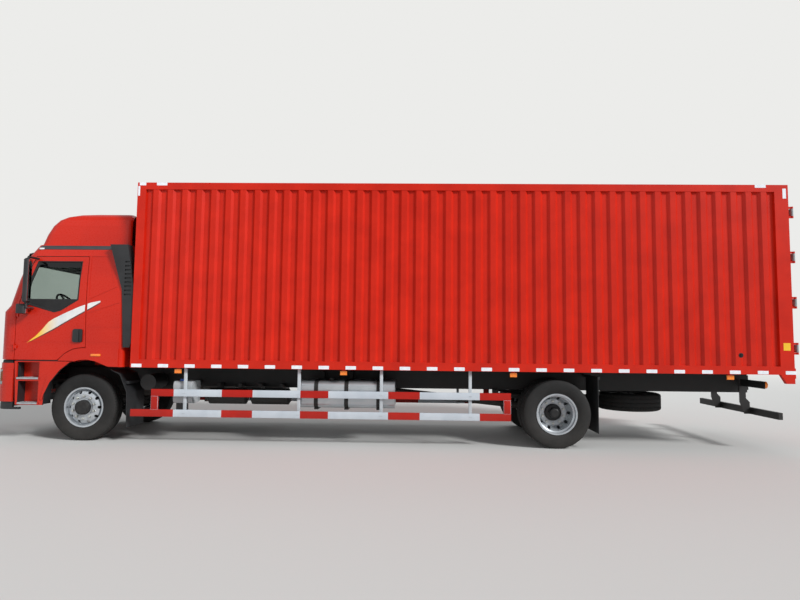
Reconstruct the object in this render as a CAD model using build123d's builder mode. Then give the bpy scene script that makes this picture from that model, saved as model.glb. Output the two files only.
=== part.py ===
from build123d import *
from math import ceil
import os

os.makedirs("parts", exist_ok=True)

# A two-axle box truck. X runs forward, Y to the vehicle's left and Z up, in millimetres.
# The origin is on the road, in the middle of the length and the width.

# overall sizes
overall_length = 11980
front_overhang = 1380
wheelbase = 7100
front_axle_x = overall_length / 2 - front_overhang
rear_axle_x = front_axle_x - wheelbase
running_gap = 0.5
seat_gap = 0.3

# wheels and tyres
tyre_radius = 498
tyre_width = 280
tread_width = 236
bead_radius = 286
flange_radius = 300
rim_width = 236
rim_wall = 9
well_depth = 24
disc_wall = 12
centre_bore_radius = 140
hand_hole_count = 10
hand_hole_radius = 23
hand_hole_circle_radius = 226
axle_z = tyre_radius
front_wheel_y = 975
front_disc_offset = 110
twin_spacing = 310
rear_wheel_y = 930
hub_cap_radius = 108
drum_radius = 205
drum_wall = 16
spindle_radius = 35
axle_tube_radius = 64

# chassis frame
rail_outer_y = 430
rail_web = 8
rail_flange = 80
rail_top_z = 1070
rail_height = 280
rail_front_x = front_axle_x + 1200
rail_rear_x = front_axle_x - 10300
rail_bottom_z = rail_top_z - rail_height

# cargo box
box_front_x = front_axle_x - 772
box_length = 9740
box_rear_x = box_front_x - box_length
box_half_width = 1275
box_bottom_z = 1115
box_height = 2800
box_top_z = box_bottom_z + box_height
rail_section = 60
bottom_rail_height = 120
top_rail_height = 105
front_post_depth = 128
rear_post_depth = 200
rear_post_width = 100
wall_inner_y = box_half_width - rail_section
wall_recess = 34
wall_outer_y = box_half_width - 4
corrugation_pitch = 222
corrugation_crest = 80
corrugation_slope = 34
floor_thickness = 40
floor_top_z = box_bottom_z + bottom_rail_height
bearer_width = 60
bearer_pitch = 600
roof_thickness = 30
roof_drop = 12
roof_rib_height = 8
front_rib_depth = 28
header_height = 130
door_gap = 8
door_thickness = 40
door_panel_bottom_z = floor_top_z + 6
hinge_pin_radius = 8
hinge_barrel_radius = 14
hinge_pin_back = 60
hinge_pin_y = box_half_width - 15
rod_radius = 13
rod_standoff = 9

# cab
cab_bottom_z = 1210
cab_skirt_z = 1115
cab_roof_z = 2975
cab_rear_x = front_axle_x - 640
beyond_cab_x = front_axle_x + 1500
cab_wall = 60
skin_wall = 25
cab_floor_z = 1420
tunnel_half_width = 440
tunnel_top_z = 1380
shut_gap = 9
cab_pivot_x = front_axle_x + 1250
cab_pivot_z = 950
cab_pin_radius = 20
bumper_front_x = front_axle_x + front_overhang
bumper_chin_z = 470
bumper_bottom_z = 585
bumper_ledge_z = 1072
bumper_top_z = 1158
bumper_wall = 40
bumper_half_width = 1235
bumper_rear_x = front_axle_x + 1015
beyond_y = 1300


def block(x0, x1, y0, y1, z0, z1, mode=Mode.ADD):
    """A rectangular block between two corners, in the part that is being built."""
    centre = ((x0 + x1) / 2, (y0 + y1) / 2, (z0 + z1) / 2)
    with Locations(centre):
        Box(x1 - x0, y1 - y0, z1 - z0, mode=mode)


def cut(x0, x1, y0, y1, z0, z1):
    """A rectangular space between two corners, taken out of the part that is being built."""
    block(x0, x1, y0, y1, z0, z1, mode=Mode.SUBTRACT)


def rod(start, end, radius, mode=Mode.ADD):
    """A round bar between two points, in the part that is being built."""
    line = Vector(*end) - Vector(*start)
    with Locations(Plane(origin=start, z_dir=line)):
        Cylinder(radius, line.length, align=(Align.CENTER, Align.CENTER, Align.MIN), mode=mode)


def save(part, name):
    """Names a finished piece and writes it."""
    part.label = name
    export_step(part, "parts/" + name + ".step")


def side_plane(y):
    """An upright plane beside the truck, X to the right and Z up, that faces its right side."""
    return Plane(origin=(0, y, 0), x_dir=(1, 0, 0), z_dir=(0, -1, 0))


def wheel_plane(x):
    """An upright plane across the truck through an axle: Y to the right and Z up from the axle."""
    return Plane(origin=(x, 0, axle_z), x_dir=(0, 1, 0), z_dir=(1, 0, 0))


def hub_plane(x, y, side):
    """An upright plane at a wheel, on its axle's line, that faces away from the truck on one side."""
    return Plane(origin=(x, side * y, axle_z), x_dir=(1, 0, 0), z_dir=(0, side, 0))


def rearward_plane(x, y, z):
    """An upright plane across the truck that faces rearwards: Y to the right."""
    return Plane(origin=(x, y, z), x_dir=(0, 1, 0), z_dir=(-1, 0, 0))


def mirrored(part):
    """The same piece on the truck's other side."""
    with BuildPart() as other:
        mirror(part, about=Plane.XZ)
    return other.part


# One rim, as half of its section: distance from the rim's middle and radius.
rim_outside = [
    (rim_width / 2, flange_radius),
    (rim_width / 2 - 9, flange_radius),
    (rim_width / 2 - 11, bead_radius),
    (rim_width / 2 - 58, bead_radius - 3),
    (rim_width / 2 - 74, bead_radius - well_depth),
]


def rim_outline(centre):
    """The closed section of a rim with its middle at a distance from the truck's middle."""
    outside = [(centre + y, r) for y, r in rim_outside]
    outside = outside + [(centre - y, r) for y, r in reversed(rim_outside)]
    inside = [(centre - rim_width / 2 + 3, bead_radius - rim_wall)]
    inside.append((centre - rim_width / 2 + 66, bead_radius - rim_wall - 3))
    inside.append((centre - rim_width / 2 + 80, bead_radius - well_depth - rim_wall))
    mirror_side = [(2 * centre - y, r) for y, r in reversed(inside)]
    return outside + inside + mirror_side


def tyre_outline(centre):
    """The closed section of a tyre: bead, bulging wall, shoulder and tread."""
    half = tyre_width / 2
    tread = tread_width / 2
    bead = rim_width / 2 - 12
    side = [
        (bead, bead_radius + seat_gap),
        (bead + 4, flange_radius + 6),
        (half, tyre_radius - 110),
        (half - 5, tyre_radius - 45),
        (tread, tyre_radius),
    ]
    left = [(centre + y, r) for y, r in side]
    right = [(centre - y, r) for y, r in reversed(side)]
    inner = [(centre - bead + 26, bead_radius + 12), (centre - half + 34, tyre_radius - 40)]
    inner = inner + [(2 * centre - y, r) for y, r in reversed(inner)]
    return left + right + inner


def tyre(name, x, centres, side):
    """The tyres on one wheel position."""
    with BuildPart() as piece:
        with BuildSketch(wheel_plane(x)):
            for centre in centres:
                Polygon(*tyre_outline(side * centre), align=None)
        revolve(axis=Axis((x, 0, axle_z), (0, 1, 0)))
    save(piece.part, name)


def front_wheel(name, side):
    """A front wheel: rim, outset disc, hub with its cap, and brake drum."""
    y = front_wheel_y
    face = y + front_disc_offset
    back = face - disc_wall
    well = bead_radius - well_depth - rim_wall
    disc = [
        (y + 22, well + 2),
        (y + 30, well + 2),
        (face - 22, well - 18),
        (face, well - 62),
        (face, centre_bore_radius),
        (back, centre_bore_radius),
        (back, well - 68),
        (face - 34, well - 28),
    ]
    hub = [
        (y - 70, spindle_radius + running_gap),
        (face - 25, spindle_radius + running_gap),
        (face - 12, 0),
        (face + 66, 0),
        (face + 66, hub_cap_radius - 24),
        (face + 56, hub_cap_radius),
        (face, hub_cap_radius),
        (face, centre_bore_radius - 8),
        (back, centre_bore_radius - 8),
        (back, drum_radius - 30),
        (back - 18, drum_radius),
        (y - 100, drum_radius),
        (y - 100, drum_radius - drum_wall),
        (back - 30, drum_radius - drum_wall),
        (back - 30, hub_cap_radius),
        (y - 70, hub_cap_radius - 20),
    ]
    with BuildPart() as piece:
        with BuildSketch(wheel_plane(front_axle_x)):
            for outline in (rim_outline(y), disc, hub):
                Polygon(*[(side * a, r) for a, r in outline], align=None)
        revolve(axis=Axis((front_axle_x, 0, axle_z), (0, 1, 0)))
        with BuildSketch(hub_plane(front_axle_x, y - tyre_width / 2, side)):
            with PolarLocations(hand_hole_circle_radius, hand_hole_count):
                Circle(hand_hole_radius)
        extrude(amount=rim_width + 100, mode=Mode.SUBTRACT)
    save(piece.part, name)


def rear_wheels(name, side):
    """Twin rear wheels: two rims, their discs back to back, hub and brake drum."""
    y = rear_wheel_y
    well = bead_radius - well_depth - rim_wall
    outer = y + twin_spacing / 2
    inner = y - twin_spacing / 2
    hub = [
        (y - 190, axle_tube_radius + running_gap),
        (y + 40, axle_tube_radius + running_gap),
        (y + 50, 0),
        (y + 150, 0),
        (y + 150, 50),
        (y + 138, 70),
        (y + 60, 78),
        (y + 50, hub_cap_radius + 10),
        (y, hub_cap_radius + 10),
        (y, centre_bore_radius),
        (y - disc_wall, centre_bore_radius),
        (y - disc_wall, drum_radius - 30),
        (y - 40, drum_radius),
        (y - 240, drum_radius),
        (y - 240, drum_radius - drum_wall),
        (y - 60, drum_radius - drum_wall),
        (y - 60, spindle_radius + 70),
        (y - 190, spindle_radius + 60),
    ]
    outer_disc = [
        (outer - 30, well + 2),
        (outer - 46, well + 2),
        (y + 44, well - 14),
        (y, well - 50),
        (y, centre_bore_radius),
        (y + disc_wall, centre_bore_radius),
        (y + disc_wall, well - 56),
        (y + 50, well - 26),
    ]
    inner_disc = [(2 * y - a, r) for a, r in outer_disc]
    with BuildPart() as piece:
        with BuildSketch(wheel_plane(rear_axle_x)):
            for outline in (rim_outline(outer), rim_outline(inner), outer_disc, inner_disc, hub):
                Polygon(*[(side * a, r) for a, r in outline], align=None)
        revolve(axis=Axis((rear_axle_x, 0, axle_z), (0, 1, 0)))
        with BuildSketch(hub_plane(rear_axle_x, y - 10, side)):
            with PolarLocations(hand_hole_circle_radius, hand_hole_count):
                Circle(hand_hole_radius)
        extrude(amount=rim_width, mode=Mode.SUBTRACT)
    save(piece.part, name)


for name, side in (("left", 1), ("right", -1)):
    tyre("front_tyre_" + name, front_axle_x, (front_wheel_y,), side)
    twins = (rear_wheel_y + twin_spacing / 2, rear_wheel_y - twin_spacing / 2)
    tyre("rear_tyres_" + name, rear_axle_x, twins, side)
    front_wheel("front_wheel_" + name, side)
    rear_wheels("rear_wheels_" + name, side)

# steering: beam, kingpins, knuckles and tie rod
kingpin_y = 830
kingpin_radius = 22
eye_radius = 46
eye_half_height = 52
beam_drop_z = 400
beam_height = 90
beam_half_width = 46
spring_y = 432
spring_half_width = 42
arm_length = 185
arm_y = kingpin_y
arm_z = axle_z - 110
arm_thickness = 24
tie_rod_radius = 17
tie_pin_radius = 12
tie_eye_radius = 25

with BuildPart() as front_axle:
    with BuildSketch(wheel_plane(front_axle_x)):
        drop = beam_drop_z - axle_z
        half = beam_height / 2
        beam = [
            (0, drop - half),
            (spring_y + 90, drop - half),
            (kingpin_y - 60, -half),
            (kingpin_y - 10, -half),
            (kingpin_y - 10, half),
            (kingpin_y - 60, half),
            (spring_y + 60, drop + half),
            (0, drop + half),
        ]
        Polygon(*beam, align=None)
        mirror(about=Plane.YZ)
    extrude(amount=beam_half_width, both=True)
    with BuildSketch(wheel_plane(front_axle_x - beam_half_width)):
        with Locations((0, drop)):
            Rectangle(2 * spring_y - 2 * spring_half_width - 30, beam_height - 36)
    extrude(amount=beam_half_width - 10, mode=Mode.SUBTRACT)
    with BuildSketch(wheel_plane(front_axle_x + beam_half_width)):
        with Locations((0, drop)):
            Rectangle(2 * spring_y - 2 * spring_half_width - 30, beam_height - 36)
    extrude(amount=10 - beam_half_width, mode=Mode.SUBTRACT)
    with Locations((front_axle_x, kingpin_y, axle_z), (front_axle_x, -kingpin_y, axle_z)):
        Cylinder(eye_radius, 2 * eye_half_height)
        Cylinder(kingpin_radius + running_gap, 2 * eye_half_height + 10, mode=Mode.SUBTRACT)
save(front_axle.part, "front_axle")

with BuildPart() as knuckle:
    flange_y = kingpin_y + eye_radius + 10
    yoke_z = eye_half_height + 6
    with Locations((front_axle_x, kingpin_y, axle_z)):
        Cylinder(kingpin_radius, 2 * yoke_z + 60)
    for sign in (1, -1):
        z = axle_z + sign * (yoke_z + 18)
        block(front_axle_x - 50, front_axle_x + 50, kingpin_y, flange_y + 5, z - 18, z + 18)
        with Locations((front_axle_x, kingpin_y, z)):
            Cylinder(50, 36)
    flange_start = Plane(origin=(front_axle_x, flange_y, axle_z), x_dir=(1, 0, 0), z_dir=(0, 1, 0))
    with BuildSketch(flange_start):
        Circle(drum_radius - drum_wall - 6)
    extrude(amount=9)
    with BuildSketch(flange_start):
        Rectangle(120, 2 * yoke_z + 72)
    extrude(amount=12)
    with BuildSketch(flange_start):
        Circle(spindle_radius)
    extrude(amount=front_wheel_y + front_disc_offset - 32 - flange_y)
    block(front_axle_x - 30, front_axle_x + 30, kingpin_y - 25, kingpin_y + 25, arm_z, axle_z - yoke_z)
    block(front_axle_x - arm_length, front_axle_x, arm_y - 22, arm_y + 22, arm_z, arm_z + arm_thickness)
    with Locations((front_axle_x - arm_length, arm_y, arm_z + arm_thickness / 2)):
        Cylinder(30, arm_thickness)
        Cylinder(tie_pin_radius + running_gap, arm_thickness + 10, mode=Mode.SUBTRACT)
save(knuckle.part, "knuckle_left")
save(mirrored(knuckle.part), "knuckle_right")

with BuildPart() as tie_rod:
    rod_z = arm_z - 6 - tie_rod_radius
    rod_x = front_axle_x - arm_length
    rod((rod_x, -arm_y, rod_z), (rod_x, arm_y, rod_z), tie_rod_radius)
    with Locations((rod_x, arm_y, rod_z), (rod_x, -arm_y, rod_z)):
        Cylinder(tie_eye_radius, 2 * tie_rod_radius + 6)
    with Locations((rod_x, arm_y, rod_z + 30), (rod_x, -arm_y, rod_z + 30)):
        Cylinder(tie_pin_radius, 60)
save(tie_rod.part, "tie_rod")

# rear axle and springs
housing_radius = 215
rear_spring_y = 470
rear_pad_z = axle_z + 95
spring_leaf_thickness = 14
spring_hanger = 90
pinion_reach = 330

with BuildPart() as rear_axle:
    tube_end = rear_wheel_y + 36
    rod((rear_axle_x, -tube_end, axle_z), (rear_axle_x, tube_end, axle_z), axle_tube_radius)
    housing = Axis((rear_axle_x, 0, axle_z), (0, 1, 0))
    with BuildSketch(wheel_plane(rear_axle_x)):
        section = [(-430, 0), (-420, 80), (-230, 110), (-110, housing_radius)]
        section = section + [(-y, r) for y, r in reversed(section)]
        Polygon(*section, align=None)
    revolve(axis=housing)
    rod((rear_axle_x, 0, axle_z), (rear_axle_x + pinion_reach, 0, axle_z), 105)
    for sign in (1, -1):
        y = sign * rear_spring_y
        block(rear_axle_x - 60, rear_axle_x + 60, y - 45, y + 45, axle_z, rear_pad_z)
save(rear_axle.part, "rear_axle")

# Each spring: axle, middle, seat height, half length, number of leaves.
springs = [
    ("front", front_axle_x, spring_y, beam_drop_z + beam_height / 2, 780, 4),
    ("rear", rear_axle_x, rear_spring_y, rear_pad_z, 800, 8),
]
with BuildPart() as leaf_springs:
    for label, x, y, seat, reach, leaves in springs:
        rise = rail_bottom_z - 120 - seat
        for k in range(leaves):
            span = reach * (1 - 0.85 * (leaves - 1 - k) / leaves)
            low = seat + k * spring_leaf_thickness
            bend = rise * (span / reach) ** 2 * 0.5
            with BuildSketch(side_plane(y + spring_half_width)):
                leaf = [
                    (x - span, low + bend),
                    (x - span / 2, low + bend / 4),
                    (x - 80, low),
                    (x + 80, low),
                    (x + span / 2, low + bend / 4),
                    (x + span, low + bend),
                ]
                upper = [(a, b + spring_leaf_thickness) for a, b in reversed(leaf)]
                Polygon(*leaf, *upper, align=None)
            extrude(amount=2 * spring_half_width)
        top = seat + leaves * spring_leaf_thickness
        block(x - 60, x + 60, y - spring_half_width, y + spring_half_width, seat, top + 20)
        for sign in (1, -1):
            end = x + sign * reach
            low = seat + (leaves - 1) * spring_leaf_thickness + rise * 0.5
            inner = y - spring_half_width - 12
            outer = y + spring_half_width + 8
            block(end - spring_hanger / 2, end + spring_hanger / 2, inner, outer, low, rail_bottom_z)
    mirror(about=Plane.XZ)
save(leaf_springs.part, "leaf_springs")

# engine, gearbox and propshaft
engine_front_x = front_axle_x + 800
engine_length = 1300
engine_half_width = 325
engine_bottom_z = 610
engine_top_z = 1325
gearbox_length = 780
shaft_radius = 55
shaft_front_z = 800
radiator_x = front_axle_x + 960
radiator_depth = 110
radiator_half_width = 340
radiator_low_z = 700
radiator_high_z = 1330

with BuildPart() as engine_block:
    engine_rear_x = engine_front_x - engine_length
    block(engine_rear_x, engine_front_x, -engine_half_width, engine_half_width, engine_bottom_z, engine_top_z)
    chamfer(engine_block.edges().filter_by(Axis.X), length=70)
    block(
        radiator_x,
        radiator_x + radiator_depth,
        -radiator_half_width,
        radiator_half_width,
        radiator_low_z,
        radiator_high_z,
    )
save(engine_block.part, "engine_block")

with BuildPart() as driveline:
    gearbox_front_x = engine_rear_x
    gearbox_rear_x = gearbox_front_x - gearbox_length
    middle_x = gearbox_rear_x - 2500
    pinion_x = rear_axle_x + pinion_reach
    across = rearward_plane(gearbox_front_x, 0, shaft_front_z)
    with BuildSketch(across):
        RectangleRounded(500, 420, 120)
    with BuildSketch(across.offset(260)):
        RectangleRounded(400, 340, 100)
    with BuildSketch(across.offset(gearbox_length)):
        RectangleRounded(300, 260, 90)
    loft(ruled=True)
    rod((gearbox_rear_x, 0, shaft_front_z), (middle_x, 0, shaft_front_z), shaft_radius)
    rod((middle_x, 0, shaft_front_z), (pinion_x - 20, 0, axle_z), shaft_radius)
    for x, z in ((gearbox_rear_x - 60, shaft_front_z), (middle_x, shaft_front_z)):
        rod((x - 60, 0, z), (x + 60, 0, z), shaft_radius + 25)
    add(rear_axle.part, mode=Mode.SUBTRACT)
save(driveline.part, "driveline")

# the bumper's corner shape in plan: a crowned front between two rounded corners
front_crown = 70
bumper_corner_radius = 250


def nose(z, front, rear, half_width, corner, tail):
    """A plan section at a height: crowned front, rounded front corners and small rear ones."""
    with BuildSketch(Plane.XY.offset(z)) as section:
        with BuildLine():
            ThreePointArc((front - front_crown, -half_width), (front, 0), (front - front_crown, half_width))
            Line((front - front_crown, half_width), (rear, half_width))
            Line((rear, half_width), (rear, -half_width))
            Line((rear, -half_width), (front - front_crown, -half_width))
        make_face()
        ends = section.vertices().sort_by(Axis.X)
        fillet(ends[2:], radius=corner)
        ends = section.vertices().sort_by(Axis.X)
        fillet(ends[:2], radius=tail)
    return section.sketch


# The bumper's steps from below: low and high side, and how far each is set in.
bumper_steps = [
    (bumper_chin_z, bumper_bottom_z, 24),
    (bumper_bottom_z, bumper_ledge_z, 0),
    (bumper_ledge_z, bumper_top_z, 14),
]


def bumper_shell(inset):
    """The bumper's full width form, set in from its outside."""
    with BuildPart() as shell:
        for low, high, step in bumper_steps:
            depth = inset + step
            section = nose(
                low,
                bumper_front_x - depth,
                bumper_rear_x - 100,
                bumper_half_width - depth,
                bumper_corner_radius - depth,
                10,
            )
            extrude(section, amount=high - low)
    return shell.part


headlamp_low_z = 835
headlamp_high_z = 1060
headlamp_inner_y = 770
headlamp_rear_x = front_axle_x + 1190
bumper_tail_z = 500
beyond_bumper_z = 1300
# Air slots in the bumper's face: low and high side, half width.
bumper_slots = [
    (900, 960, 600),
    (1000, 1060, 600),
    (660, 720, 430),
]
bumper_outside = bumper_shell(0)
bumper_inside = bumper_shell(bumper_wall)
lamp_back = bumper_shell(bumper_wall - 5)

with BuildPart() as front_bumper:
    add(bumper_outside)
    add(bumper_inside, mode=Mode.SUBTRACT)
    cut(bumper_rear_x - 200, bumper_rear_x, -beyond_y, beyond_y, bumper_tail_z, beyond_bumper_z)
    for sign in (1, -1):
        y = sorted((sign * headlamp_inner_y, sign * beyond_y))
        cut(headlamp_rear_x, bumper_front_x + 50, *y, headlamp_low_z, headlamp_high_z)
    for low, high, half in bumper_slots:
        cut(bumper_front_x - 200, bumper_front_x + 50, -half, half, low, high)
save(front_bumper.part, "front_bumper")

# tail lamp places, shared with their carrier
tail_lamp_x = front_axle_x - 10190
tail_lamp_z = 950
tail_lamp_radius = 52
tail_lamp_places = ((tail_lamp_x, 905), (tail_lamp_x, 1030))
marker_places = [front_axle_x - x for x in (1480, 3955, 6460, 9610)]
marker_tab = 4
marker_depth = 18
marker_low_z = 1035
marker_high_z = 1095
tail_lamp_depth = 45
marker_inner_y = box_half_width - rail_section + marker_tab

with BuildPart() as lamps:
    add(bumper_outside)
    add(lamp_back, mode=Mode.SUBTRACT)
    keep = Plane.XY.offset(headlamp_low_z + seat_gap)
    with BuildSketch(keep):
        lamp_x = headlamp_rear_x + seat_gap + 200
        lamp_y = headlamp_inner_y + seat_gap + 300
        with Locations((lamp_x, lamp_y), (lamp_x, -lamp_y)):
            Rectangle(400, 600)
    extrude(amount=headlamp_high_z - headlamp_low_z - 2 * seat_gap, mode=Mode.INTERSECT)
    for x, y in tail_lamp_places:
        for sign in (1, -1):
            rod((x - tail_lamp_depth, sign * y, tail_lamp_z), (x, sign * y, tail_lamp_z), tail_lamp_radius)
    for x in marker_places:
        for sign in (1, -1):
            y = sorted((sign * marker_inner_y, sign * (marker_inner_y + marker_depth)))
            block(x - 50, x + 50, *y, marker_low_z, marker_high_z)
save(lamps.part, "lamps")

# things carried beside the frame
tank_front_x = front_axle_x - 3300
tank_length = 1410
tank_low_z = 540
tank_height = 400
tank_depth = 620
tank_outer_y = 1150
tank_corner = 90
strap_places = [front_axle_x - x for x in (3537, 3990, 4470)]
air_tank_radius = 125
air_tank_length = 640
air_tank_z = 655
air_tank_y = 640
silencer_front_x = front_axle_x - 900
silencer_length = 900
battery_front_x = silencer_front_x - silencer_length - 150
silencer_inner_y = 560
battery_inner_y = 580
battery_width = 560
battery_length = 700
battery_z = 760
urea_front_x = front_axle_x - 1385
urea_y = 980
urea_z = 745
urea_height = 330
silencer_y = 840
silencer_z = 740
silencer_pipe_radius = 50
drum_tank_x = front_axle_x - 930
drum_tank_z = 880
drum_tank_radius = 120

with BuildPart() as fuel_tank:
    tank_middle_z = tank_low_z + tank_height / 2
    with BuildSketch(rearward_plane(tank_front_x, tank_outer_y - tank_depth / 2, tank_middle_z)):
        RectangleRounded(tank_depth, tank_height, tank_corner)
    extrude(amount=tank_length)
    with Locations((tank_front_x - 450, tank_outer_y - 200, tank_low_z + tank_height)):
        Cylinder(45, 35, align=(Align.CENTER, Align.CENTER, Align.MIN))
save(fuel_tank.part, "fuel_tank")

with BuildPart() as side_boxes:
    with BuildSketch(rearward_plane(urea_front_x, urea_y, urea_z)):
        RectangleRounded(340, urea_height, 60)
    extrude(amount=285)
    with Locations((urea_front_x - 105, urea_y + 80, urea_z + urea_height / 2)):
        Cylinder(38, 30, align=(Align.CENTER, Align.CENTER, Align.MIN))
    battery_y = battery_inner_y + battery_width / 2
    with BuildSketch(rearward_plane(battery_front_x, -battery_y, battery_z)):
        RectangleRounded(battery_width, 400, 40)
    extrude(amount=battery_length)
save(side_boxes.part, "side_boxes")

with BuildPart() as air_tanks:
    for start in (1740, 2420):
        x = front_axle_x - start
        length = air_tank_length
        with BuildSketch(side_plane(air_tank_y)):
            Polygon(
                (x, air_tank_z),
                (x, air_tank_z + air_tank_radius - 60),
                (x - 35, air_tank_z + air_tank_radius),
                (x - length + 35, air_tank_z + air_tank_radius),
                (x - length, air_tank_z + air_tank_radius - 60),
                (x - length, air_tank_z),
                align=None,
            )
        revolve(axis=Axis((x, air_tank_y, air_tank_z), (1, 0, 0)))
    rod((drum_tank_x, 560, drum_tank_z), (drum_tank_x, 1000, drum_tank_z), drum_tank_radius)
save(air_tanks.part, "air_tanks")

with BuildPart() as exhaust_silencer:
    with BuildSketch(rearward_plane(silencer_front_x, -silencer_y, silencer_z)):
        RectangleRounded(560, 420, 140)
    extrude(amount=silencer_length)
    x = silencer_front_x - 300
    rod((x, -silencer_y, silencer_z - 150), (x, -silencer_y, silencer_z - 330), silencer_pipe_radius)
    x = silencer_front_x + 330
    z = silencer_z - 60
    rod((silencer_front_x, -570, z), (x, -570, z), silencer_pipe_radius)
save(exhaust_silencer.part, "exhaust_silencer")

# chassis frame with its crossmembers and brackets
crossmember_places = [front_axle_x - x for x in (1350, 2700, 3950, 5300, 8150, 9250)]
crossmember_height = 150
crossmember_width = 70
crossmember_wall = 10
bumper_bracket_x = bumper_front_x - 30
guard_post_width = 45
guard_post_places = [front_axle_x - x for x in (1585, 3290, 4515, 5828)]
guard_outer_y = 1240
guard_thickness = 35
underrun_plate = 12

# Brackets between the frame and what it carries: place, inner and outer side, low, high, width.
side_brackets = [
    (front_axle_x - 1527, rail_outer_y, 810, 840, 890, 60),
    (front_axle_x - 930, rail_outer_y, 560, 840, 920, 70),
    (front_axle_x - 1900, rail_outer_y, air_tank_y, air_tank_z + 60, rail_bottom_z + 60, 50),
    (front_axle_x - 2240, rail_outer_y, air_tank_y, air_tank_z + 60, rail_bottom_z + 60, 50),
    (front_axle_x - 2560, rail_outer_y, air_tank_y, air_tank_z + 60, rail_bottom_z + 60, 50),
    (front_axle_x - 2900, rail_outer_y, air_tank_y, air_tank_z + 60, rail_bottom_z + 60, 50),
    (silencer_front_x - 200, -silencer_inner_y, -rail_outer_y, 820, 900, 60),
    (silencer_front_x - 700, -silencer_inner_y, -rail_outer_y, 820, 900, 60),
    (battery_front_x - 150, -battery_inner_y, -rail_outer_y, 820, 900, 60),
    (battery_front_x - 550, -battery_inner_y, -rail_outer_y, 820, 900, 60),
    (tail_lamp_x + 3, rail_outer_y + underrun_plate, 1090, 895, 1005, 6),
    (tail_lamp_x + 3, -1090, -rail_outer_y - underrun_plate, 895, 1005, 6),
    (front_axle_x + 500, engine_half_width, rail_outer_y - rail_web, 850, 910, 80),
    (front_axle_x + 500, rail_web - rail_outer_y, -engine_half_width, 850, 910, 80),
    (front_axle_x - 300, engine_half_width, rail_outer_y - rail_web, 850, 910, 80),
    (front_axle_x - 300, rail_web - rail_outer_y, -engine_half_width, 850, 910, 80),
    (radiator_x + radiator_depth / 2, radiator_half_width, rail_outer_y - rail_web, 900, 960, 40),
    (radiator_x + radiator_depth / 2, rail_web - rail_outer_y, -radiator_half_width, 900, 960, 40),
]

with BuildPart() as chassis_frame:
    rails = Plane(origin=(rail_rear_x, 0, rail_bottom_z), x_dir=(0, 1, 0), z_dir=(1, 0, 0))
    with BuildSketch(rails):
        with Locations((rail_outer_y - rail_flange / 2, rail_height / 2)):
            Rectangle(rail_flange, rail_height)
        with Locations((rail_outer_y - rail_web - rail_flange / 2, rail_height / 2)):
            Rectangle(rail_flange, rail_height - 2 * rail_web, mode=Mode.SUBTRACT)
        mirror(about=Plane.YZ)
    extrude(amount=rail_front_x - rail_rear_x)
    web_y = rail_outer_y - rail_web
    for x in crossmember_places:
        mid = rail_top_z - 90
        half = crossmember_height / 2
        block(x - crossmember_width / 2, x + crossmember_width / 2, -web_y, web_y, mid - half, mid + half)
        x0 = x - crossmember_width / 2
        x1 = x + crossmember_width / 2 - crossmember_wall
        y = web_y - 90
        cut(x0, x1, -y, y, mid - half + crossmember_wall, mid + half - crossmember_wall)
    block(rail_rear_x - 20, rail_rear_x, -rail_outer_y, rail_outer_y, rail_bottom_z + 40, rail_top_z - 10)
    block(rail_front_x - 60, rail_front_x, -web_y, web_y, rail_bottom_z + 20, rail_bottom_z + 160)
    for sign in (1, -1):
        y = sorted((sign * 380, sign * (rail_outer_y + 6)))
        block(rail_front_x, bumper_bracket_x, *y, rail_bottom_z - 40, rail_bottom_z + 60)
        y = sorted((sign * (rail_outer_y - 8), sign * (rail_outer_y + 10)))
        block(rail_front_x - 160, cab_pivot_x + 42, *y, cab_pivot_z - 95, cab_pivot_z + 42)
        ends = [(cab_pivot_x, sign * y, cab_pivot_z) for y in (rail_outer_y + 5, 500)]
        rod(*ends, cab_pin_radius)
    for x, y0, y1, low, high, width in side_brackets:
        block(x - width / 2, x + width / 2, y0, y1, low, high)
    for x in strap_places:
        block(x - 30, x + 30, tank_outer_y - tank_depth, tank_outer_y - 40, tank_low_z - 25, tank_low_z)
        block(x - 30, x + 30, rail_outer_y, tank_outer_y - tank_depth, tank_low_z - 25, rail_top_z - 20)
    add(air_tanks.part, mode=Mode.SUBTRACT)
    add(front_bumper.part, mode=Mode.SUBTRACT)
save(chassis_frame.part, "chassis_frame")

# cargo box
wall_front_x = box_front_x - front_post_depth
wall_rear_x = box_rear_x + rear_post_depth
bearer_count = ceil((wall_front_x - wall_rear_x - bearer_width) / bearer_pitch) + 1
bearer_step = (wall_front_x - wall_rear_x - bearer_width) / (bearer_count - 1)

with BuildPart() as box_floor:
    block(wall_rear_x, wall_front_x, -wall_inner_y, wall_inner_y, floor_top_z - floor_thickness, floor_top_z)
    for k in range(bearer_count):
        x = wall_rear_x + k * bearer_step
        block(x, x + bearer_width, -wall_inner_y, wall_inner_y, box_bottom_z, floor_top_z - floor_thickness)
    for sign in (1, -1):
        y = sorted((sign * (rail_outer_y - rail_flange), sign * rail_outer_y))
        block(wall_rear_x, wall_front_x, *y, rail_top_z, box_bottom_z)
        block(wall_rear_x, wall_front_x, *y, box_bottom_z, floor_top_z - floor_thickness)
save(box_floor.part, "box_floor")

# One side wall is a plain lining with trapezoid ribs outside, between a bottom and a top rail.
wall_length = wall_front_x - wall_rear_x
rib_count = int(wall_length / corrugation_pitch)
rib_margin = (wall_length - rib_count * corrugation_pitch) / 2

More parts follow.
